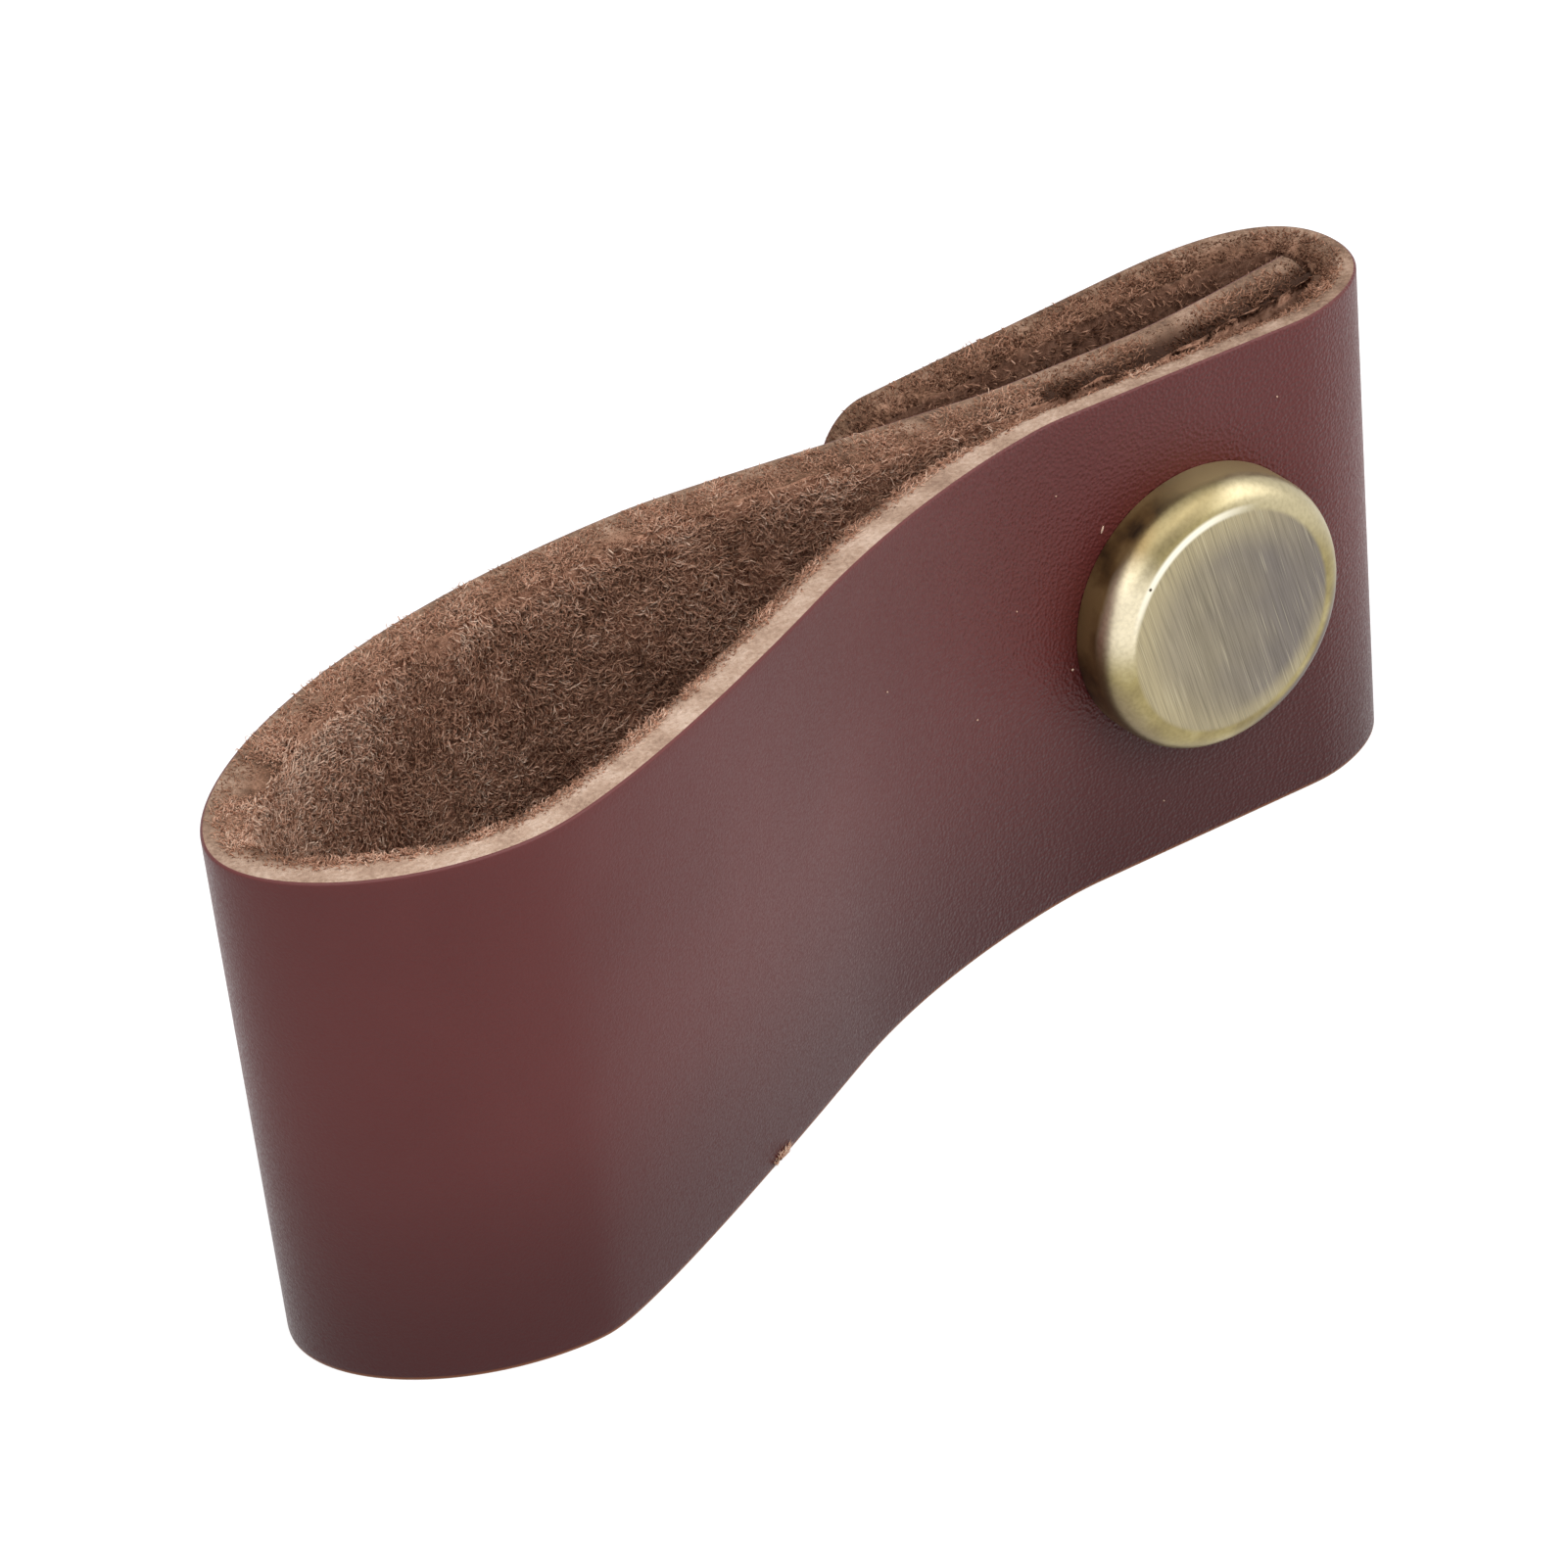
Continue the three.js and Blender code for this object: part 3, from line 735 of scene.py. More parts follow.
# %% Fray along the upper edge
def fray(name, count, low, high, seed, spill=0.22, darker=0.0, shift=0.0):
    """Fibres on the loose part of the upper cut. They lie at random and lean towards the grain.

    Roots crowd towards the flesh side by a power law, and stand on the slumped cut. Their tone
    follows the paleness of the cut below them, less darker times how far fleshward they are."""
    draw = np.random.default_rng(seed)
    s = draw.uniform(low, high, count)
    firm = np.interp(s, *FIRM) * LEATHER
    depth = firm + (LEATHER + 0.05 - firm) * draw.power(1.5, count)
    tuft = np.clip(on_grid(clump, s, 5.0 + depth), -TUFT_LIMIT, TUFT_LIMIT)
    size = draw.uniform(0.2, 0.65, count) * (1 + 0.3 * tuft)
    way = draw.uniform(0, 2 * math.pi, count)
    lift = draw.uniform(0.05, spill, count) * (1 + 0.4 * tuft)
    top = STRAP_WIDTH - corner_cut(s) - slump(s, depth)
    knots = np.empty((count, 3, 3))
    knots[:, 0] = np.stack([s, top - 0.08, depth], -1)
    knots[:, 1] = knots[:, 0] + np.stack([
        0.5 * size * np.cos(way), 0.08 + lift, 0.4 * size * np.sin(way) - 0.05], -1)
    way += draw.normal(0, 0.9, count)
    knots[:, 2] = knots[:, 1] + np.stack([
        0.5 * size * np.cos(way), draw.uniform(-0.3, 0.5, count) * lift, 0.4 * size * np.sin(way)], -1)
    knots[..., 2] = np.clip(knots[..., 2], 0.15, LEATHER + 0.2)
    pale = np.interp(s, *PALENESS)
    fleshward = np.clip((depth / LEATHER - 0.6) / 0.4, 0, 1)
    tone = 0.24 + shift + 0.45 * pale - darker * fleshward + 0.14 * tuft + 0.15 * draw.normal(size=count)
    return fibres(name, knots, draw.uniform(0.025, 0.05, count), tone)


fray("fray_flap", 4500, 0.5, SEAT_PLACE - 12, SEED + 30, darker=0.1)
# here the fray darkens strongly towards the flesh side: painted shade in the groove between the layers
fray("fray_seat", 2200, SEAT_PLACE - 12, SEAT_PLACE + 12, SEED + 31, darker=0.5)
fray("fray_front", 2600, SEAT_PLACE + 12, NOSE_PLACE, SEED + 32, darker=0.15)
fray("fray_back", 8500, NOSE_PLACE, TUCK_PLACE - 7, SEED + 33, darker=-0.08, shift=0.2)
# here too the strong darkening towards the flesh side is painted shade in the groove between the layers
fray("fray_tuck", 1600, TUCK_PLACE - 7, LENGTH - 0.1, SEED + 34, darker=0.5)


# %% [markdown]
# ## Small marks
#
# A tuft of loose fibres stands out of the lower front edge where the knife slipped, and a few
# pale specks of dust cling to the grain near the button. Both could be drawn in the finish, but
# they stand out of the hide, so the tuft is made of the same fibres as the nap, and the specks
# are small flattened balls.

# %% The tuft and the dust specks
def place_near(x, y):
    """The path place whose lower edge is closest to a point given from the button's axis."""
    return float(ALONG[np.argmin(np.hypot(LOWER[:, 0] - x, LOWER[:, 1] - y))])


def tuft_at(name, x, y, count, seed):
    """A tuft on the lower edge: fibres that fan out of one spot, outwards and up."""
    draw = np.random.default_rng(seed)
    s = place_near(x, y) + draw.normal(0, 0.3, count)
    size = draw.uniform(0.5, 1.0, count)
    way = draw.normal(math.pi / 2, 0.7, count)
    knots = np.empty((count, 3, 3))
    knots[:, 0] = np.stack([s, draw.uniform(0.08, 0.25, count), draw.uniform(0.0, 0.3, count)], -1)
    knots[:, 1] = knots[:, 0] + np.stack([
        0.5 * size * np.cos(way), 0.35 * size * np.sin(way), -0.2 * size], -1)
    knots[:, 2] = knots[:, 1] + np.stack([
        0.5 * size * np.cos(way), 0.4 * size * np.sin(way), draw.uniform(-0.25, 0.1, count)], -1)
    return fibres(name, knots, draw.uniform(0.04, 0.07, count), 0.85 + 0.15 * draw.normal(size=count))


SPECK_BANDS, SPECK_SIDES = 5, 8
SPECK_THICKNESS = 0.05


def specks(name, rows):
    """Flattened balls: rings of points from pole to pole, stretched, turned and laid on the grain.

    Each row: distance past the seat's middle, height, half length, half width, lean in degrees."""
    rows = np.array(rows)
    polar, turn = np.meshgrid(np.linspace(0.3, math.pi - 0.3, SPECK_BANDS),
                              np.arange(SPECK_SIDES) * 2 * math.pi / SPECK_SIDES, indexing="ij")
    ball = np.stack([np.sin(polar) * np.cos(turn), np.sin(polar) * np.sin(turn), np.cos(polar)], -1)
    ball = np.concatenate([ball.reshape(-1, 3), [[0, 0, 1.0], [0, 0, -1.0]]])
    lean = np.radians(rows[:, 4])[:, None]
    long, wide, thick = ball[:, 0] * rows[:, 2:3], ball[:, 1] * rows[:, 3:4], ball[:, 2] * SPECK_THICKNESS
    s = SEAT_PLACE + rows[:, 0:1] + long * np.cos(lean) - wide * np.sin(lean)
    height = rows[:, 1:2] + long * np.sin(lean) + wide * np.cos(lean)
    points = on_strap(s, height, -0.02 - thick + 0 * s).reshape(-1, 3)
    i = np.arange(SPECK_SIDES)
    j = (i + 1) % SPECK_SIDES
    last = SPECK_SIDES * (SPECK_BANDS - 1)
    bands = [np.stack([b + i, b + j, b + SPECK_SIDES + j, b + SPECK_SIDES + i], -1)
             for b in range(0, last, SPECK_SIDES)]
    quads = np.concatenate(bands)
    top, bottom = np.full(SPECK_SIDES, len(ball) - 2), np.full(SPECK_SIDES, len(ball) - 1)
    triangles = np.concatenate([quads[:, [0, 1, 2]], quads[:, [0, 2, 3]], np.stack([top, j, i], -1),
                                np.stack([bottom, last + i, last + j], -1)])
    faces = (triangles[None] + (np.arange(len(rows)) * len(ball))[:, None, None]).reshape(-1, 3)
    piece = build_mesh(name, points, faces)
    piece.data.materials.append(FIBRE)
    add_attribute(piece, "tone", np.full(len(points), 1.0))
    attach(piece, ROOT)
    return piece


tuft_at("edge_tuft", -36.3, -10.2, 70, SEED + 40)
specks("dust_specks", [
    (5.95, 22.35, 0.26, 0.06, 115), (8.6, 14.5, 0.09, 0.07, 0), (16.2, 15.0, 0.06, 0.05, 0),
    (8.9, 25.6, 0.05, 0.04, 0), (-6.4, 26.0, 0.06, 0.05, 20), (12.5, 20.0, 0.05, 0.04, 60),
    (24.0, 21.0, 0.05, 0.04, 0), (3.0, 3.5, 0.05, 0.04, 0)])
print("tuft and specks made")


# %% [markdown]
# ## The holes
#
# Three holes were punched through the strap: two for the button's barrel and one in the flap,
# which is only as wide as the screw needs. The rings of the hide could be laid out round each
# hole, but a Boolean modifier is simpler: it takes a cylinder out of the hide, which leaves a
# clean, straight wall like a punch does. One cylinder makes both of the barrel's holes.

# %% Punch the holes
BARREL_HOLE, SCREW_HOLE = 3.5, 2.6
PUNCH_SIDES = 64


def punch_tool(radius, low, high, slope):
    """A cylinder along Y: points on a circle at two levels, turned about Z by the flap's slope."""
    angle = np.linspace(0, 2 * math.pi, PUNCH_SIDES, endpoint=False)
    circle = np.stack([radius * np.cos(angle), np.zeros(PUNCH_SIDES), radius * np.sin(angle)], axis=-1)
    middle = (low + high) / 2
    points = np.concatenate([circle + [0, level - middle, 0] for level in (low, high)])
    cos, sin = math.cos(slope), math.sin(slope)
    points = points @ np.array([[cos, sin, 0], [-sin, cos, 0], [0, 0, 1]]) + [AXIS_X, SEAT_Y + middle, AXIS_Z]
    first = np.arange(PUNCH_SIDES)
    after = (first + 1) % PUNCH_SIDES
    sides = np.stack([first, after, PUNCH_SIDES + after, PUNCH_SIDES + first], axis=-1).tolist()
    ends = [first[::-1].tolist(), (PUNCH_SIDES + first).tolist()]
    mesh = bpy.data.meshes.new("punch")
    mesh.from_pydata((points * MM).tolist(), [], sides + ends)
    mesh.update()
    tool = bpy.data.objects.new("punch", mesh)
    bpy.context.scene.collection.objects.link(tool)
    return tool


def punch_holes(piece):
    """Cuts each cylinder out of the piece and bakes the result into its mesh."""
    tools = [punch_tool(BARREL_HOLE, -1, TUCK_GRAIN + 1, 0.0),
             punch_tool(SCREW_HOLE, FLAP_GRAIN - LEATHER - 1, FLAP_GRAIN + 1, FLAP_SLOPE)]
    for tool in tools:
        cut = piece.modifiers.new("punch", "BOOLEAN")
        cut.operation, cut.solver, cut.object = "DIFFERENCE", "EXACT", tool
    whole = piece.evaluated_get(bpy.context.evaluated_depsgraph_get())
    mesh = bpy.data.meshes.new_from_object(whole)
    piece.modifiers.clear()
    piece.data = mesh
    for tool in tools:
        bpy.data.objects.remove(tool)


punch_holes(hide)
print("strap_hide after punching:", len(hide.data.polygons), "faces")


# %% [markdown]
# ## The button
#
# The button is turned brass, browned to look old and then brushed, so the brown stays low on the
# wall while the face and the shoulder shine through in a dull yellow. Its profile is spun round
# the screw's axis. The brush went straight across the face, so its strokes are a noise that is
# stretched along one direction. Wear, a nick, and the light and dark of the reflections could be
# painted by hand, but here each one is a colour laid where a few lengths say: how far from the
# axis, and how far towards an hour of the clock, with 12 at the top of the face. Most of these
# colours are painted reflections and painted highlights: the face's yellow left and grey right,
# the shoulder's pale top and dark lower side, its glint, the shining edge and the wall's paler top.

# %% Colours laid by length
def lay(tree, below, above, *masks):
    """Lays one colour over another: the product of its masks says how much of it shows.

    Each mask is a length and the two values in millimetres between which it goes from 0 to 1."""
    share = None
    for length, start, full in masks:
        step = add_node(tree, "MapRange", {"Value": length, "From Min": start * MM, "From Max": full * MM},
                        interpolation_type="SMOOTHSTEP")
        share = add_node(tree, "Math", {0: share, 1: step}, operation="MULTIPLY") if share else step
    return add_node(tree, "Mix", {0: share, 6: below, 7: above}, data_type="RGBA")


def clock_hand(hour):
    """The direction from the button's middle to an hour of the clock."""
    angle = math.radians(90 - 30 * hour)
    return (math.cos(angle), 0, math.sin(angle))


# %% The brushed face
def brushed_face(tree, lengths, cloud, stroke, scratch):
    """The face: yellower on the left and greyer on the right as a painted reflection, and warmer towards its
    rim, partly from wear and partly as a painted reflection.
    """
    # yellower on the left, greyer on the right: painted reflection
    uneven = add_node(tree, "Math", {0: cloud, 1: 4 * MM, 2: lengths["x"]}, operation="MULTIPLY_ADD")
    across = add_node(tree, "MapRange", {"Value": uneven, "From Min": -4.5 * MM, "From Max": 5.5 * MM})
    face = add_node(tree, "ValToRGB", {"Fac": across},
                    stops=[(0.0, "#a19680"), (0.45, "#948a76"), (1.0, "#7e766f")])
    # warmer towards the rim on the upper left and on the lower right: partly wear, partly painted reflection
    face = lay(tree, face, linear("#b1a483"), (lengths[10.0], -5.5, 4.0), (lengths["radius"], 3.8, 6.5))
    face = lay(tree, face, linear("#a89c7f"), (lengths[5.2], 2.0, 6.0), (lengths["radius"], 5.2, 6.5))
    # brush lines, with a few bright scratches among them
    lines = add_node(tree, "ValToRGB", {"Fac": stroke},
                     stops=[(0.3, "#d2d2d2"), (0.5, "#f0f0f0"), (0.7, "#ffffff")])
    face = add_node(tree, "Mix", {0: 1.0, 6: face, 7: lines}, data_type="RGBA", blend_type="MULTIPLY")
    bright = add_node(tree, "MapRange", {"Value": scratch, "From Min": 0.66, "From Max": 0.76, "To Max": 0.2})
    return add_node(tree, "Mix", {0: bright, 6: face, 7: linear("#e0d6b8")}, data_type="RGBA")


# %% The turned shoulder
def turned_shoulder(tree, lengths, cloud, haze):
    """The shoulder: yellow, with painted reflections that make it pale on top and dark below, and a painted
    glint on its left.
    """
    radius = lengths["radius"]
    outer = (radius, 6.8, 7.3)
    shoulder = add_node(tree, "ValToRGB", {"Fac": cloud},
                        stops=[(0.35, "#8d7f58"), (0.55, "#a39567"), (0.7, "#b5a87f")])
    # painted reflections: paler towards one o'clock, darker towards four, eight and eleven and along the
    # outer rim near half past ten, and a painted glint on the left
    for colour, *masks in (
            ("#b9ad8b", (lengths[1.1], 4.6, 7.2)),
            ("#66574c", (lengths[4.4], 5.4, 7.2), outer),
            ("#887a5e", (lengths[8.0], 6.7, 7.9)),
            ("#7b6f50", (lengths[11.2], 6.4, 7.6), outer),
            ("#84704c", (lengths[10.5], 7.6, 8.3)),
            ("#e8dcbe", (lengths["glint spot"], 4.0, 1.0), (radius, 6.2, 6.8))):
        shoulder = lay(tree, shoulder, linear(colour), *masks)
    dulled = add_node(tree, "ValToRGB", {"Fac": haze}, stops=[(0.35, "#efeeec"), (0.6, "#ffffff")])
    return add_node(tree, "Mix", {0: 1.0, 6: shoulder, 7: dulled}, data_type="RGBA", blend_type="MULTIPLY")


# %% Lengths measured on the button
EDGE_RADIUS = 6.72
GLINT_SPOT = (-6.74, -2.7, 2.79)
NICK = (-5.36, -3.3, 4.11)


def button_lengths(tree, centred):
    """The lengths that the button's colours are laid by, in metres: each is one number at a point."""
    lengths = {hour: add_node(tree, "VectorMath", {0: centred, 1: clock_hand(hour)}, operation="DOT_PRODUCT")
               for hour in (0.7, 1.1, 4.4, 5.2, 8.0, 10.0, 10.5, 11.0, 11.2)}
    part = add_node(tree, "SeparateXYZ", {"Vector": centred})
    lengths["x"], lengths["level"] = part.outputs["X"], part.outputs["Y"]
    flat = add_node(tree, "VectorMath", {0: centred, 1: (1, 0, 1)}, operation="MULTIPLY")
    lengths["radius"] = add_node(tree, "VectorMath", {0: flat}, operation="LENGTH")
    for name, spot in (("glint spot", GLINT_SPOT), ("nick", NICK)):
        lengths[name] = add_node(tree, "VectorMath", {0: centred, 1: [value * MM for value in spot]},
                                 operation="DISTANCE")
    off_edge = add_node(tree, "Math", {0: lengths["radius"], 1: EDGE_RADIUS * MM}, operation="SUBTRACT")
    lengths["off edge"] = add_node(tree, "Math", {0: off_edge}, operation="ABSOLUTE")
    return lengths


# %% Antique brushed brass
def antique_brass():
    """Brass with a browned wall. Brush strokes are several millimetres long and 0.07 mm wide.

    Real strokes are finer, but would not show. They give the face its soft, streaky shine."""
    material, tree = new_material("antique_brushed_brass")
    place = add_node(tree, "TexCoord").outputs["Object"]
    centred = add_node(tree, "Mapping", {
        "Vector": place, "Location": (-AXIS_X * MM, -SEAT_Y * MM, -AXIS_Z * MM)})
    turned = add_node(tree, "Mapping", {"Vector": centred, "Rotation": (0, math.radians(15), 0)})
    drawn = add_node(tree, "Mapping", {
        "Vector": turned, "Scale": (1 / (0.07 * MM), 1 / (2 * MM), 1 / (4 * MM))})
    stroke = add_node(tree, "TexNoise", {"Vector": drawn, "Scale": 1.0, "Detail": 3.0})
    scratch = add_node(tree, "TexNoise", {"Vector": drawn, "Scale": 1.1, "Detail": 0.0})
    cloud = add_node(tree, "TexNoise", {"Vector": place, "Scale": 1 / (2.5 * MM), "Detail": 6.0})
    haze = add_node(tree, "TexNoise", {"Vector": place, "Scale": 1 / (0.25 * MM), "Detail": 4.0})
    lengths = button_lengths(tree, centred)
    colour = lay(tree, brushed_face(tree, lengths, cloud, stroke, scratch),
                 turned_shoulder(tree, lengths, cloud, haze), (lengths["radius"], 6.45, 6.8))
    # a painted highlight along the turned edge between face and shoulder, on its upper left side, where it
    # has one nick
    colour = lay(tree, colour, linear("#f6f0dc"),
                 (lengths["off edge"], 0.32, 0.08), (lengths[11.0], 4.2, 6.8))
    colour = lay(tree, colour, linear("#3a3022"), (lengths["nick"], 0.15, 0.05))
    # the wall keeps its brown, which is an oxide and less of a mirror
    patchy = add_node(tree, "Math", {0: cloud, 1: 0.8 * MM, 2: lengths["level"]}, operation="MULTIPLY_ADD")
    brown = add_node(tree, "ValToRGB", {"Fac": cloud},
                     stops=[(0.3, "#33261a"), (0.45, "#6a5333"), (0.62, "#8f7850")])
    # paler towards the top of the wall: painted reflection
    brown = lay(tree, brown, linear("#a5946c"), (lengths[0.7], 5.4, 8.2))
    low = add_node(tree, "MapRange", {"Value": patchy, "From Min": -1.85 * MM, "From Max": -1.2 * MM},
                   interpolation_type="SMOOTHSTEP")
    colour = add_node(tree, "Mix", {0: low, 6: colour, 7: brown}, data_type="RGBA")
    metal = add_node(tree, "MapRange", {"Value": low, "To Min": 1.0, "To Max": 0.65})
    rough = add_node(tree, "MapRange", {"Value": haze, "To Min": 0.31, "To Max": 0.43})
    # the brush only went over the face, so the shoulder is smoother
    brushed = add_node(tree, "MapRange", {
        "Value": lengths["radius"], "From Min": 6.4 * MM, "From Max": 6.9 * MM,
        "To Min": 0.15, "To Max": 0.03})
    strokes = add_node(tree, "Bump", {"Strength": brushed, "Distance": 0.02 * MM, "Height": stroke})
    bump = add_node(tree, "Bump", {"Strength": 0.1, "Distance": 0.01 * MM, "Height": haze, "Normal": strokes})
    shader = add_node(tree, "BsdfPrincipled", {
        "Base Color": colour, "Metallic": metal, "Roughness": rough, "Normal": bump})
    add_node(tree, "OutputMaterial", {"Surface": shader})
    return material


BRASS = antique_brass()
print("button finish:", BRASS.name)


# %% Closed skins, surfaces of revolution and arcs
def closed_skin(name, skin, poles):
    """A closed mesh from rings of points (rings, count, 3) and the two single points that end it."""
    rows, count = skin.shape[:2]
    points = np.concatenate([skin.reshape(-1, 3), poles])
    i = np.arange(count)
    j = (i + 1) % count
    here = np.arange(rows - 1)[:, None] * count
    bands = np.stack([here + i, here + count + i, here + count + j, here + j], -1).reshape(-1, 4)
    end = rows * count
    first = np.stack([np.full(count, end), i, j], -1)
    last = np.stack([np.full(count, end + 1), end - count + j, end - count + i], -1)
    triangles = np.concatenate([first, bands[:, [0, 1, 2]], bands[:, [0, 2, 3]], last])
    return build_mesh(name, points, triangles)


def spun(name, profile, count):
    """A surface of revolution about the screw's axis: profile rows are (radius, level)."""
    profile = np.asarray(profile)
    angle = np.linspace(0, 2 * math.pi, count, endpoint=False)
    radius, level = profile[1:-1, 0, None], profile[1:-1, 1, None]
    skin = np.stack([
        radius * np.cos(angle) + AXIS_X, level + SEAT_Y + 0 * angle, radius * np.sin(angle) + AXIS_Z], -1)
    poles = np.array([[AXIS_X, profile[0, 1] + SEAT_Y, AXIS_Z], [AXIS_X, profile[-1, 1] + SEAT_Y, AXIS_Z]])
    return closed_skin(name, skin, poles)


def arc(centre, radius, start, stop, count):
    """Points on a circle of the profile, from one angle to another in degrees."""
    angle = np.radians(np.linspace(start, stop, count))
    return np.stack([centre[0] + radius * np.cos(angle), centre[1] + radius * np.sin(angle)], -1)


# %% The button's turned profile
SHOULDER = 1.7
FOOT_ROUND = 0.1
BUTTON_SIDES = 256
BARREL_RADIUS, BARREL_LENGTH, BARREL_BEVEL, BORE_RADIUS = 3.2, 6.5, 0.25, 2.25
BORE_BOTTOM = 1.5 - BUTTON_HEIGHT


def make_button():
    """Face, shoulder, wall, foot, barrel and blind bore, from the face's middle to the bore's end."""
    flat = BUTTON_RADIUS - SHOULDER
    shoulder = arc((flat, SHOULDER - BUTTON_HEIGHT), SHOULDER, -90, 0, 20)
    foot = arc((BUTTON_RADIUS - FOOT_ROUND, -FOOT_ROUND), FOOT_ROUND, 0, 90, 5)
    face = [(r, -BUTTON_HEIGHT) for r in (0, 0.5, 2, 4, flat - 0.6, flat - 0.15)]
    inside = [(BARREL_RADIUS, 0.0), (BARREL_RADIUS, BARREL_LENGTH - BARREL_BEVEL),
              (BARREL_RADIUS - BARREL_BEVEL, BARREL_LENGTH), (BORE_RADIUS + BARREL_BEVEL, BARREL_LENGTH),
              (BORE_RADIUS, BARREL_LENGTH - BARREL_BEVEL), (BORE_RADIUS, BORE_BOTTOM + 0.7), (0, BORE_BOTTOM)]
    return spun("brass_button", [*face, *shoulder, *foot, *inside], BUTTON_SIDES)


button = make_button()
button.data.materials.append(BRASS)
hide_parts("button")
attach(button, ROOT)
print("brass_button:", len(button.data.polygons), "faces")


# %% [markdown]
# ## The screw
#
# The screw is a 4 mm machine screw with a pan head, zinc plated. A Screw modifier could wind the
# thread and a Boolean could cut the recess, but one formula for each gives clean rings: the
# surface runs from the tip to the middle of the head. On the shank the radius is a zigzag of the
# turn angle plus the place along the axis, which makes the thread a helix with a pitch of 0.7 mm.
# On the head the level is a dome, and the cross recess is the dome pushed in where a point lies
# inside one of two crossed bars.

# %% Bright zinc plating
def zinc_plate():
    """Zinc plated steel: a cool grey metal with a slight blue cloud."""
    material, tree = new_material("zinc_plated_steel")
    place = add_node(tree, "TexCoord").outputs["Object"]
    cloud = add_node(tree, "TexNoise", {"Vector": place, "Scale": 1 / (1.5 * MM), "Detail": 4.0})
    colour = add_node(tree, "ValToRGB", {"Fac": cloud}, stops=[(0.35, "#a3a7ad"), (0.65, "#c4c6c6")])
    rough = add_node(tree, "MapRange", {"Value": cloud, "To Min": 0.22, "To Max": 0.38})
    shader = add_node(tree, "BsdfPrincipled", {"Base Color": colour, "Metallic": 1.0, "Roughness": rough})
    add_node(tree, "OutputMaterial", {"Surface": shader})
    return material


ZINC = zinc_plate()
print("screw finish:", ZINC.name)


# %% The screw's surface
SCREW_RADIUS, THREAD_ROOT, PITCH = 2.0, 1.62, 0.7
HEAD_RADIUS, HEAD_HEIGHT, HEAD_RIM = 4.0, 2.6, 1.1
RECESS_SPAN, RECESS_FOOT, RECESS_WING, RECESS_DEPTH = 4.2, 1.3, 1.1, 1.7
RECESS_SLANT = 0.32
SCREW_SIDES = 80
RECESS_TURN = math.radians(20)


def thread_radius(level, turn, tip, neck):
    """Radius of the shank: a zigzag of level / pitch + turn, which fades out at the tip and the neck."""
    phase = (level / PITCH + turn / (2 * math.pi)) % 1
    crest = np.clip(1.25 * (1 - np.abs(2 * phase - 1)) - 0.1, 0, 1)
    fade = np.clip((level - tip) / 0.8, 0, 1) * np.clip((neck - level) / 0.8, 0, 1)
    chamfer = 0.25 * np.clip(1 - (level - tip) / 0.4, 0, 1)
    return THREAD_ROOT - chamfer + (SCREW_RADIUS - THREAD_ROOT) * crest * fade


def head_level(radius, turn, neck):
    """Level of the head's top: an elliptic dome, pushed in by the two bars of the cross recess."""
    bulge = np.sqrt(np.clip(1 - (radius / HEAD_RADIUS) ** 2, 0, 1))
    dome = neck + HEAD_RIM + (HEAD_HEIGHT - HEAD_RIM) * bulge
    level = dome
    for bar in (RECESS_TURN, RECESS_TURN + math.pi / 2):
        along, aside = np.abs(radius * np.cos(turn + bar)), np.abs(radius * np.sin(turn + bar))
        deep = RECESS_DEPTH * np.clip((RECESS_SPAN / 2 - along) / (RECESS_SPAN / 2 - RECESS_FOOT / 2), 0, 1)
        inside = np.clip((RECESS_WING / 2 - aside) / RECESS_SLANT + 0.5, 0, 1)
        floor = np.minimum(dome, neck + HEAD_HEIGHT - deep)
        level = np.minimum(level, dome + (floor - dome) * inside)
    return level


def make_screw():
    """Tip, threaded shank, head's underside and rim, and the domed top with its recess."""
    low, high = (np.array(corner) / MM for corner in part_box("fixing_screw"))
    tip, top = low[1] - SEAT_Y, high[1] - SEAT_Y
    neck = top - HEAD_HEIGHT
    turn = np.linspace(0, 2 * math.pi, SCREW_SIDES, endpoint=False)[None]
    shank = np.linspace(tip, neck, int((neck - tip) / (PITCH / 6)))[:, None]
    under = np.array([
        (HEAD_RADIUS - 0.12, neck), (HEAD_RADIUS, neck + 0.12), (HEAD_RADIUS, neck + HEAD_RIM - 0.1)])
    across = np.concatenate([np.linspace(HEAD_RADIUS - 0.03, 2.4, 9), np.linspace(2.3, 0.1, 30)])[:, None]
    radius = np.concatenate([
        thread_radius(shank, turn, tip, neck), under[:, :1] + 0 * turn, across + 0 * turn])
    level = np.concatenate([shank + 0 * turn, under[:, 1:] + 0 * turn, head_level(across, turn, neck)])
    skin = np.stack([radius * np.cos(turn) + AXIS_X, level + SEAT_Y, radius * np.sin(turn) + AXIS_Z], -1)
    poles = np.array([[AXIS_X, low[1], AXIS_Z], [AXIS_X, high[1] - RECESS_DEPTH, AXIS_Z]])
    return closed_skin("zinc_screw", skin, poles)


screw = make_screw()
screw.data.materials.append(ZINC)
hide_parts("fixing_screw")
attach(screw, ROOT)
print("zinc_screw:", len(screw.data.polygons), "faces")


# %% [markdown]
# ## Studio
#
# The pull stands on a white table under large soft lamps. Stronger lamps could turn the table
# white, but they would wash out the leather as well. So the floor answers the camera and
# mirror-like rays with a little light of its own, and it still shows the pull's soft shadow.

# %% Floor and world
def background_ray(tree):
    """1 for camera, glossy and transmission rays, 0 for the diffuse rays that light the pull."""
    rays = add_node(tree, "LightPath")
    seen = add_node(tree, "Math", {0: rays.outputs["Is Camera Ray"], 1: rays.outputs["Is Glossy Ray"]},
                    operation="MAXIMUM")
    return add_node(tree, "Math", {0: seen, 1: rays.outputs["Is Transmission Ray"]}, operation="MAXIMUM")


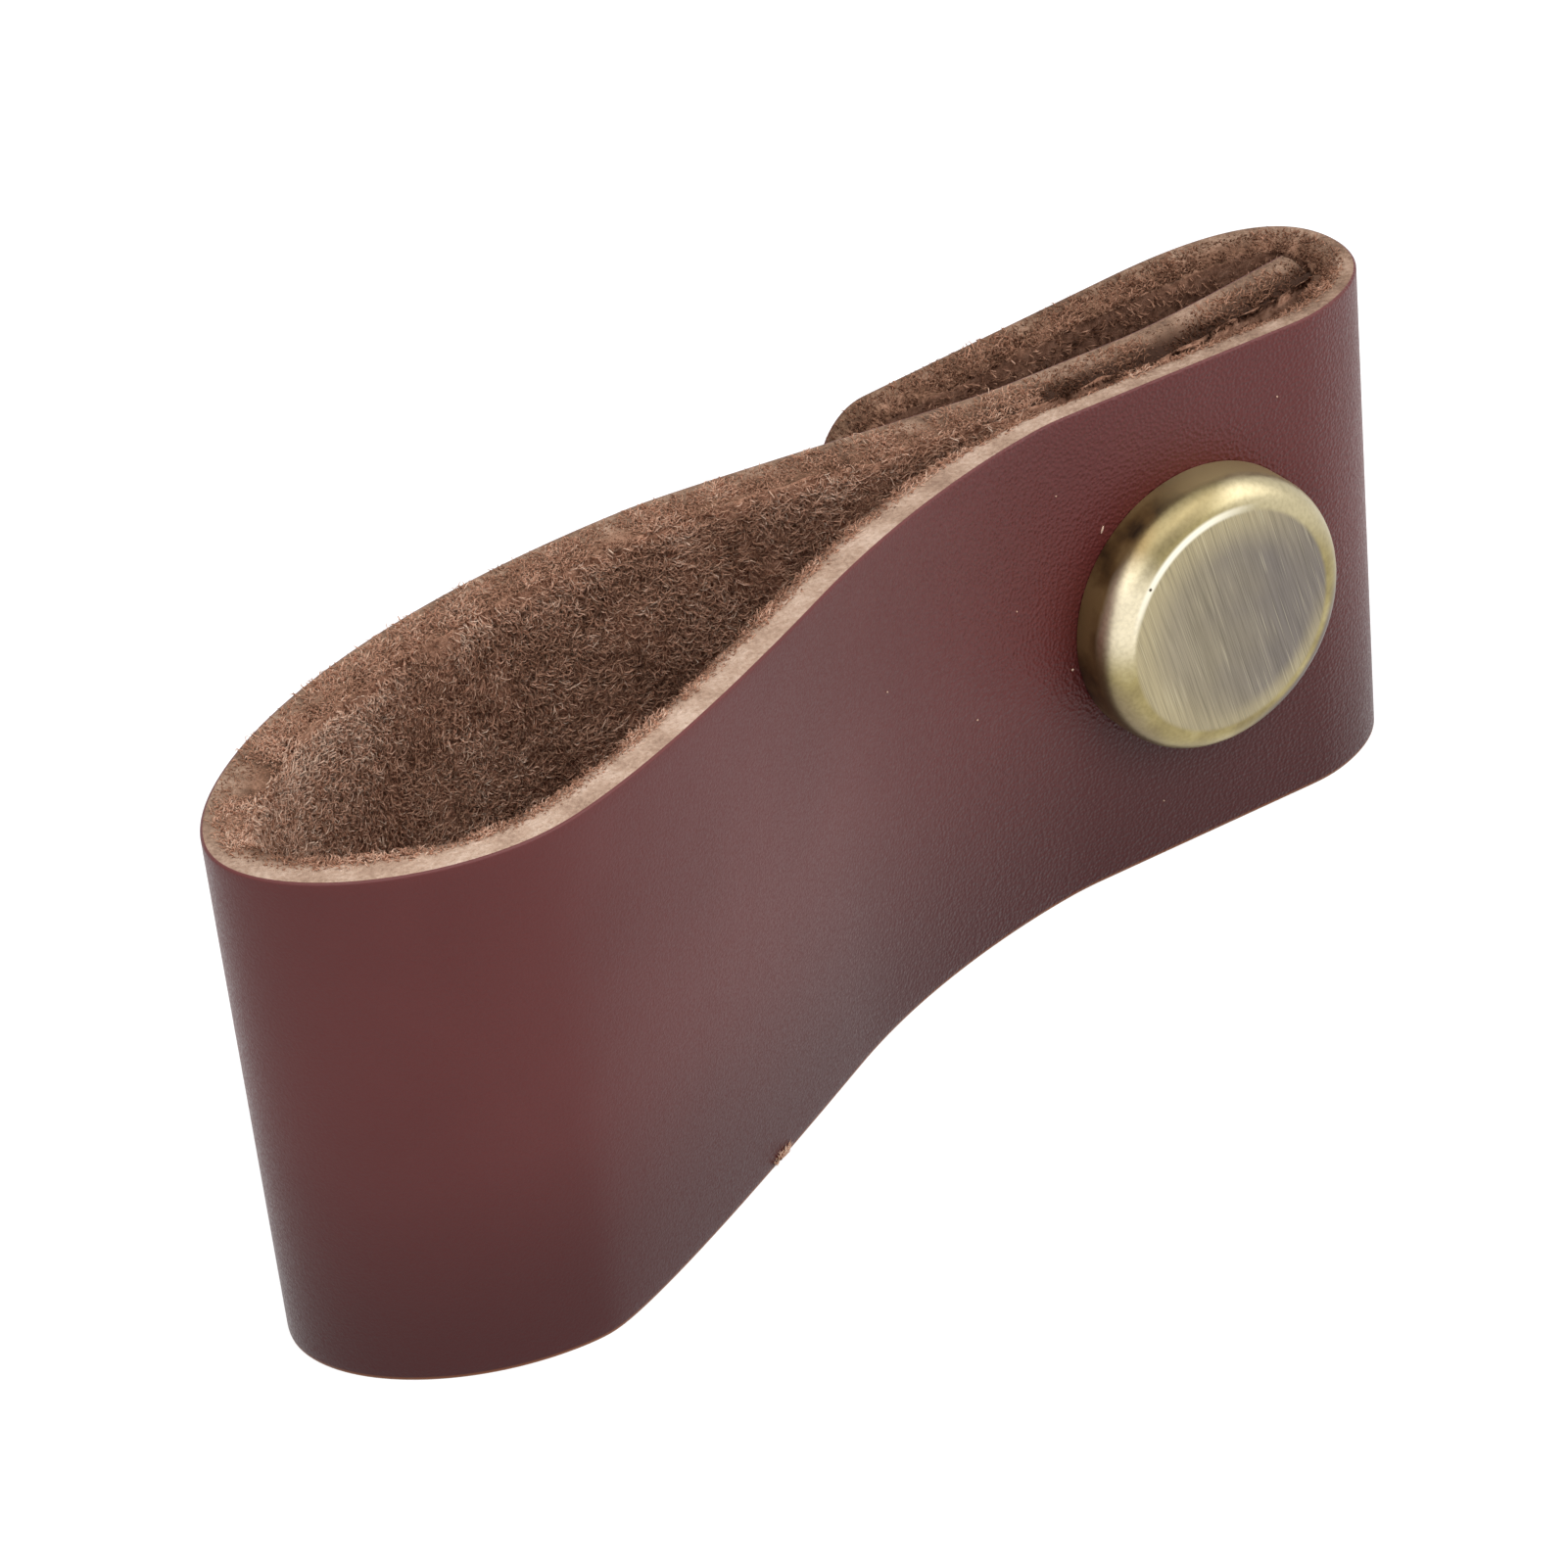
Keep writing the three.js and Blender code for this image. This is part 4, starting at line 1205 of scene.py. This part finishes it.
def floor_material():
    """Pale and matt, topped up to white for the background rays."""
    material, tree = new_material("pale_floor")
    strength = add_node(tree, "Math", {0: background_ray(tree), 1: 0.8}, operation="MULTIPLY")
    matt = add_node(tree, "BsdfDiffuse", {"Color": linear("#969696")})
    glow = add_node(tree, "Emission", {"Color": linear("#ffffff"), "Strength": strength})
    both = add_node(tree, "AddShader", {0: matt, 1: glow})
    add_node(tree, "OutputMaterial", {"Surface": both})
    return material


FLOOR_HALF = 2500
floor_corners = FLOOR_HALF * np.array([(-1, -1, 0), (1, -1, 0), (1, 1, 0), (-1, 1, 0)])
floor = build_mesh("floor", floor_corners, [[0, 1, 2, 3]], smooth=False)
floor.data.materials.append(floor_material())

world = bpy.data.worlds.new("studio")
bpy.context.scene.world = world
world.use_nodes = True
sky_tree = world.node_tree
sky_tree.nodes.clear()
soft = add_node(sky_tree, "Background", {"Color": linear("#ffffff"), "Strength": 0.35})
white = add_node(sky_tree, "Background", {"Color": linear("#ffffff"), "Strength": 1.0})
sky = add_node(sky_tree, "MixShader", {0: background_ray(sky_tree), 1: soft, 2: white})
add_node(sky_tree, "OutputWorld", {"Surface": sky})


# %% Lamps
def soft_lamp(name, azimuth, elevation, distance, size, power):
    """A square area lamp that looks at the pull from an azimuth and elevation in degrees."""
    a, e = math.radians(azimuth), math.radians(elevation)
    towards = Vector((math.sin(a) * math.cos(e), -math.cos(a) * math.cos(e), math.sin(e)))
    data = bpy.data.lights.new(name, "AREA")
    data.size, data.energy = size, power
    lamp = bpy.data.objects.new(name, data)
    lamp.location = towards * distance
    lamp.rotation_mode = "QUATERNION"
    lamp.rotation_quaternion = towards.to_track_quat("Z", "Y")
    bpy.context.scene.collection.objects.link(lamp)
    return lamp


soft_lamp("key", -50, 55, 0.9, 1.1, 5.6)
soft_lamp("fill", 40, 42, 1.0, 1.1, 7.6)
soft_lamp("top", -10, 80, 0.9, 1.0, 3.2)


# %% [markdown]
# ## Camera
#
# The view comes from the left and a little above, with a long lens close to the pull. The camera
# is placed by its azimuth, elevation and distance from the point that it looks at, and then
# turned a few degrees about its own line of sight.

# %% The photograph's viewing angle
AZIMUTH, ELEVATION, ROLL = math.radians(-30.45), math.radians(31.93), math.radians(6.25)
DISTANCE = 283.9
LENS = 121.4
# the point in the middle of the view: inside the loop, half way up the strap
aim = Vector((AXIS_X - 27.62, SEAT_Y + 0.28, 14.98))
forward = Vector((-math.sin(AZIMUTH) * math.cos(ELEVATION), math.cos(AZIMUTH) * math.cos(ELEVATION),
                  -math.sin(ELEVATION)))
level = forward.cross(Vector((0, 0, 1))).normalized()
upright = level.cross(forward)
right = level * math.cos(ROLL) - upright * math.sin(ROLL)
above = level * math.sin(ROLL) + upright * math.cos(ROLL)
place = (aim - forward * DISTANCE) * MM
lens = bpy.data.cameras.new("camera")
lens.lens, lens.sensor_width = LENS, 36.0
lens.clip_start, lens.clip_end = 0.01, 20.0
camera = bpy.data.objects.new("camera", lens)
camera.matrix_world = Matrix((
    (right.x, above.x, -forward.x, place.x),
    (right.y, above.y, -forward.y, place.y),
    (right.z, above.z, -forward.z, place.z),
    (0, 0, 0, 1)))
bpy.context.scene.collection.objects.link(camera)
bpy.context.scene.camera = camera
print("camera at", [round(v, 4) for v in place], "right", [round(v, 4) for v in right])

bpy.context.scene.view_settings.view_transform = "Standard"

# %% Count what was added
pieces = [thing for thing in bpy.context.scene.objects
          if thing.type == "MESH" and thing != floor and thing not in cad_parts.values()]
triangles = {}
for piece in pieces:
    sides = np.empty(len(piece.data.polygons), dtype=np.int32)
    piece.data.polygons.foreach_get("loop_total", sides)
    triangles[piece.name] = int((sides - 2).sum())
print("triangles:", triangles, "in all", sum(triangles.values()))
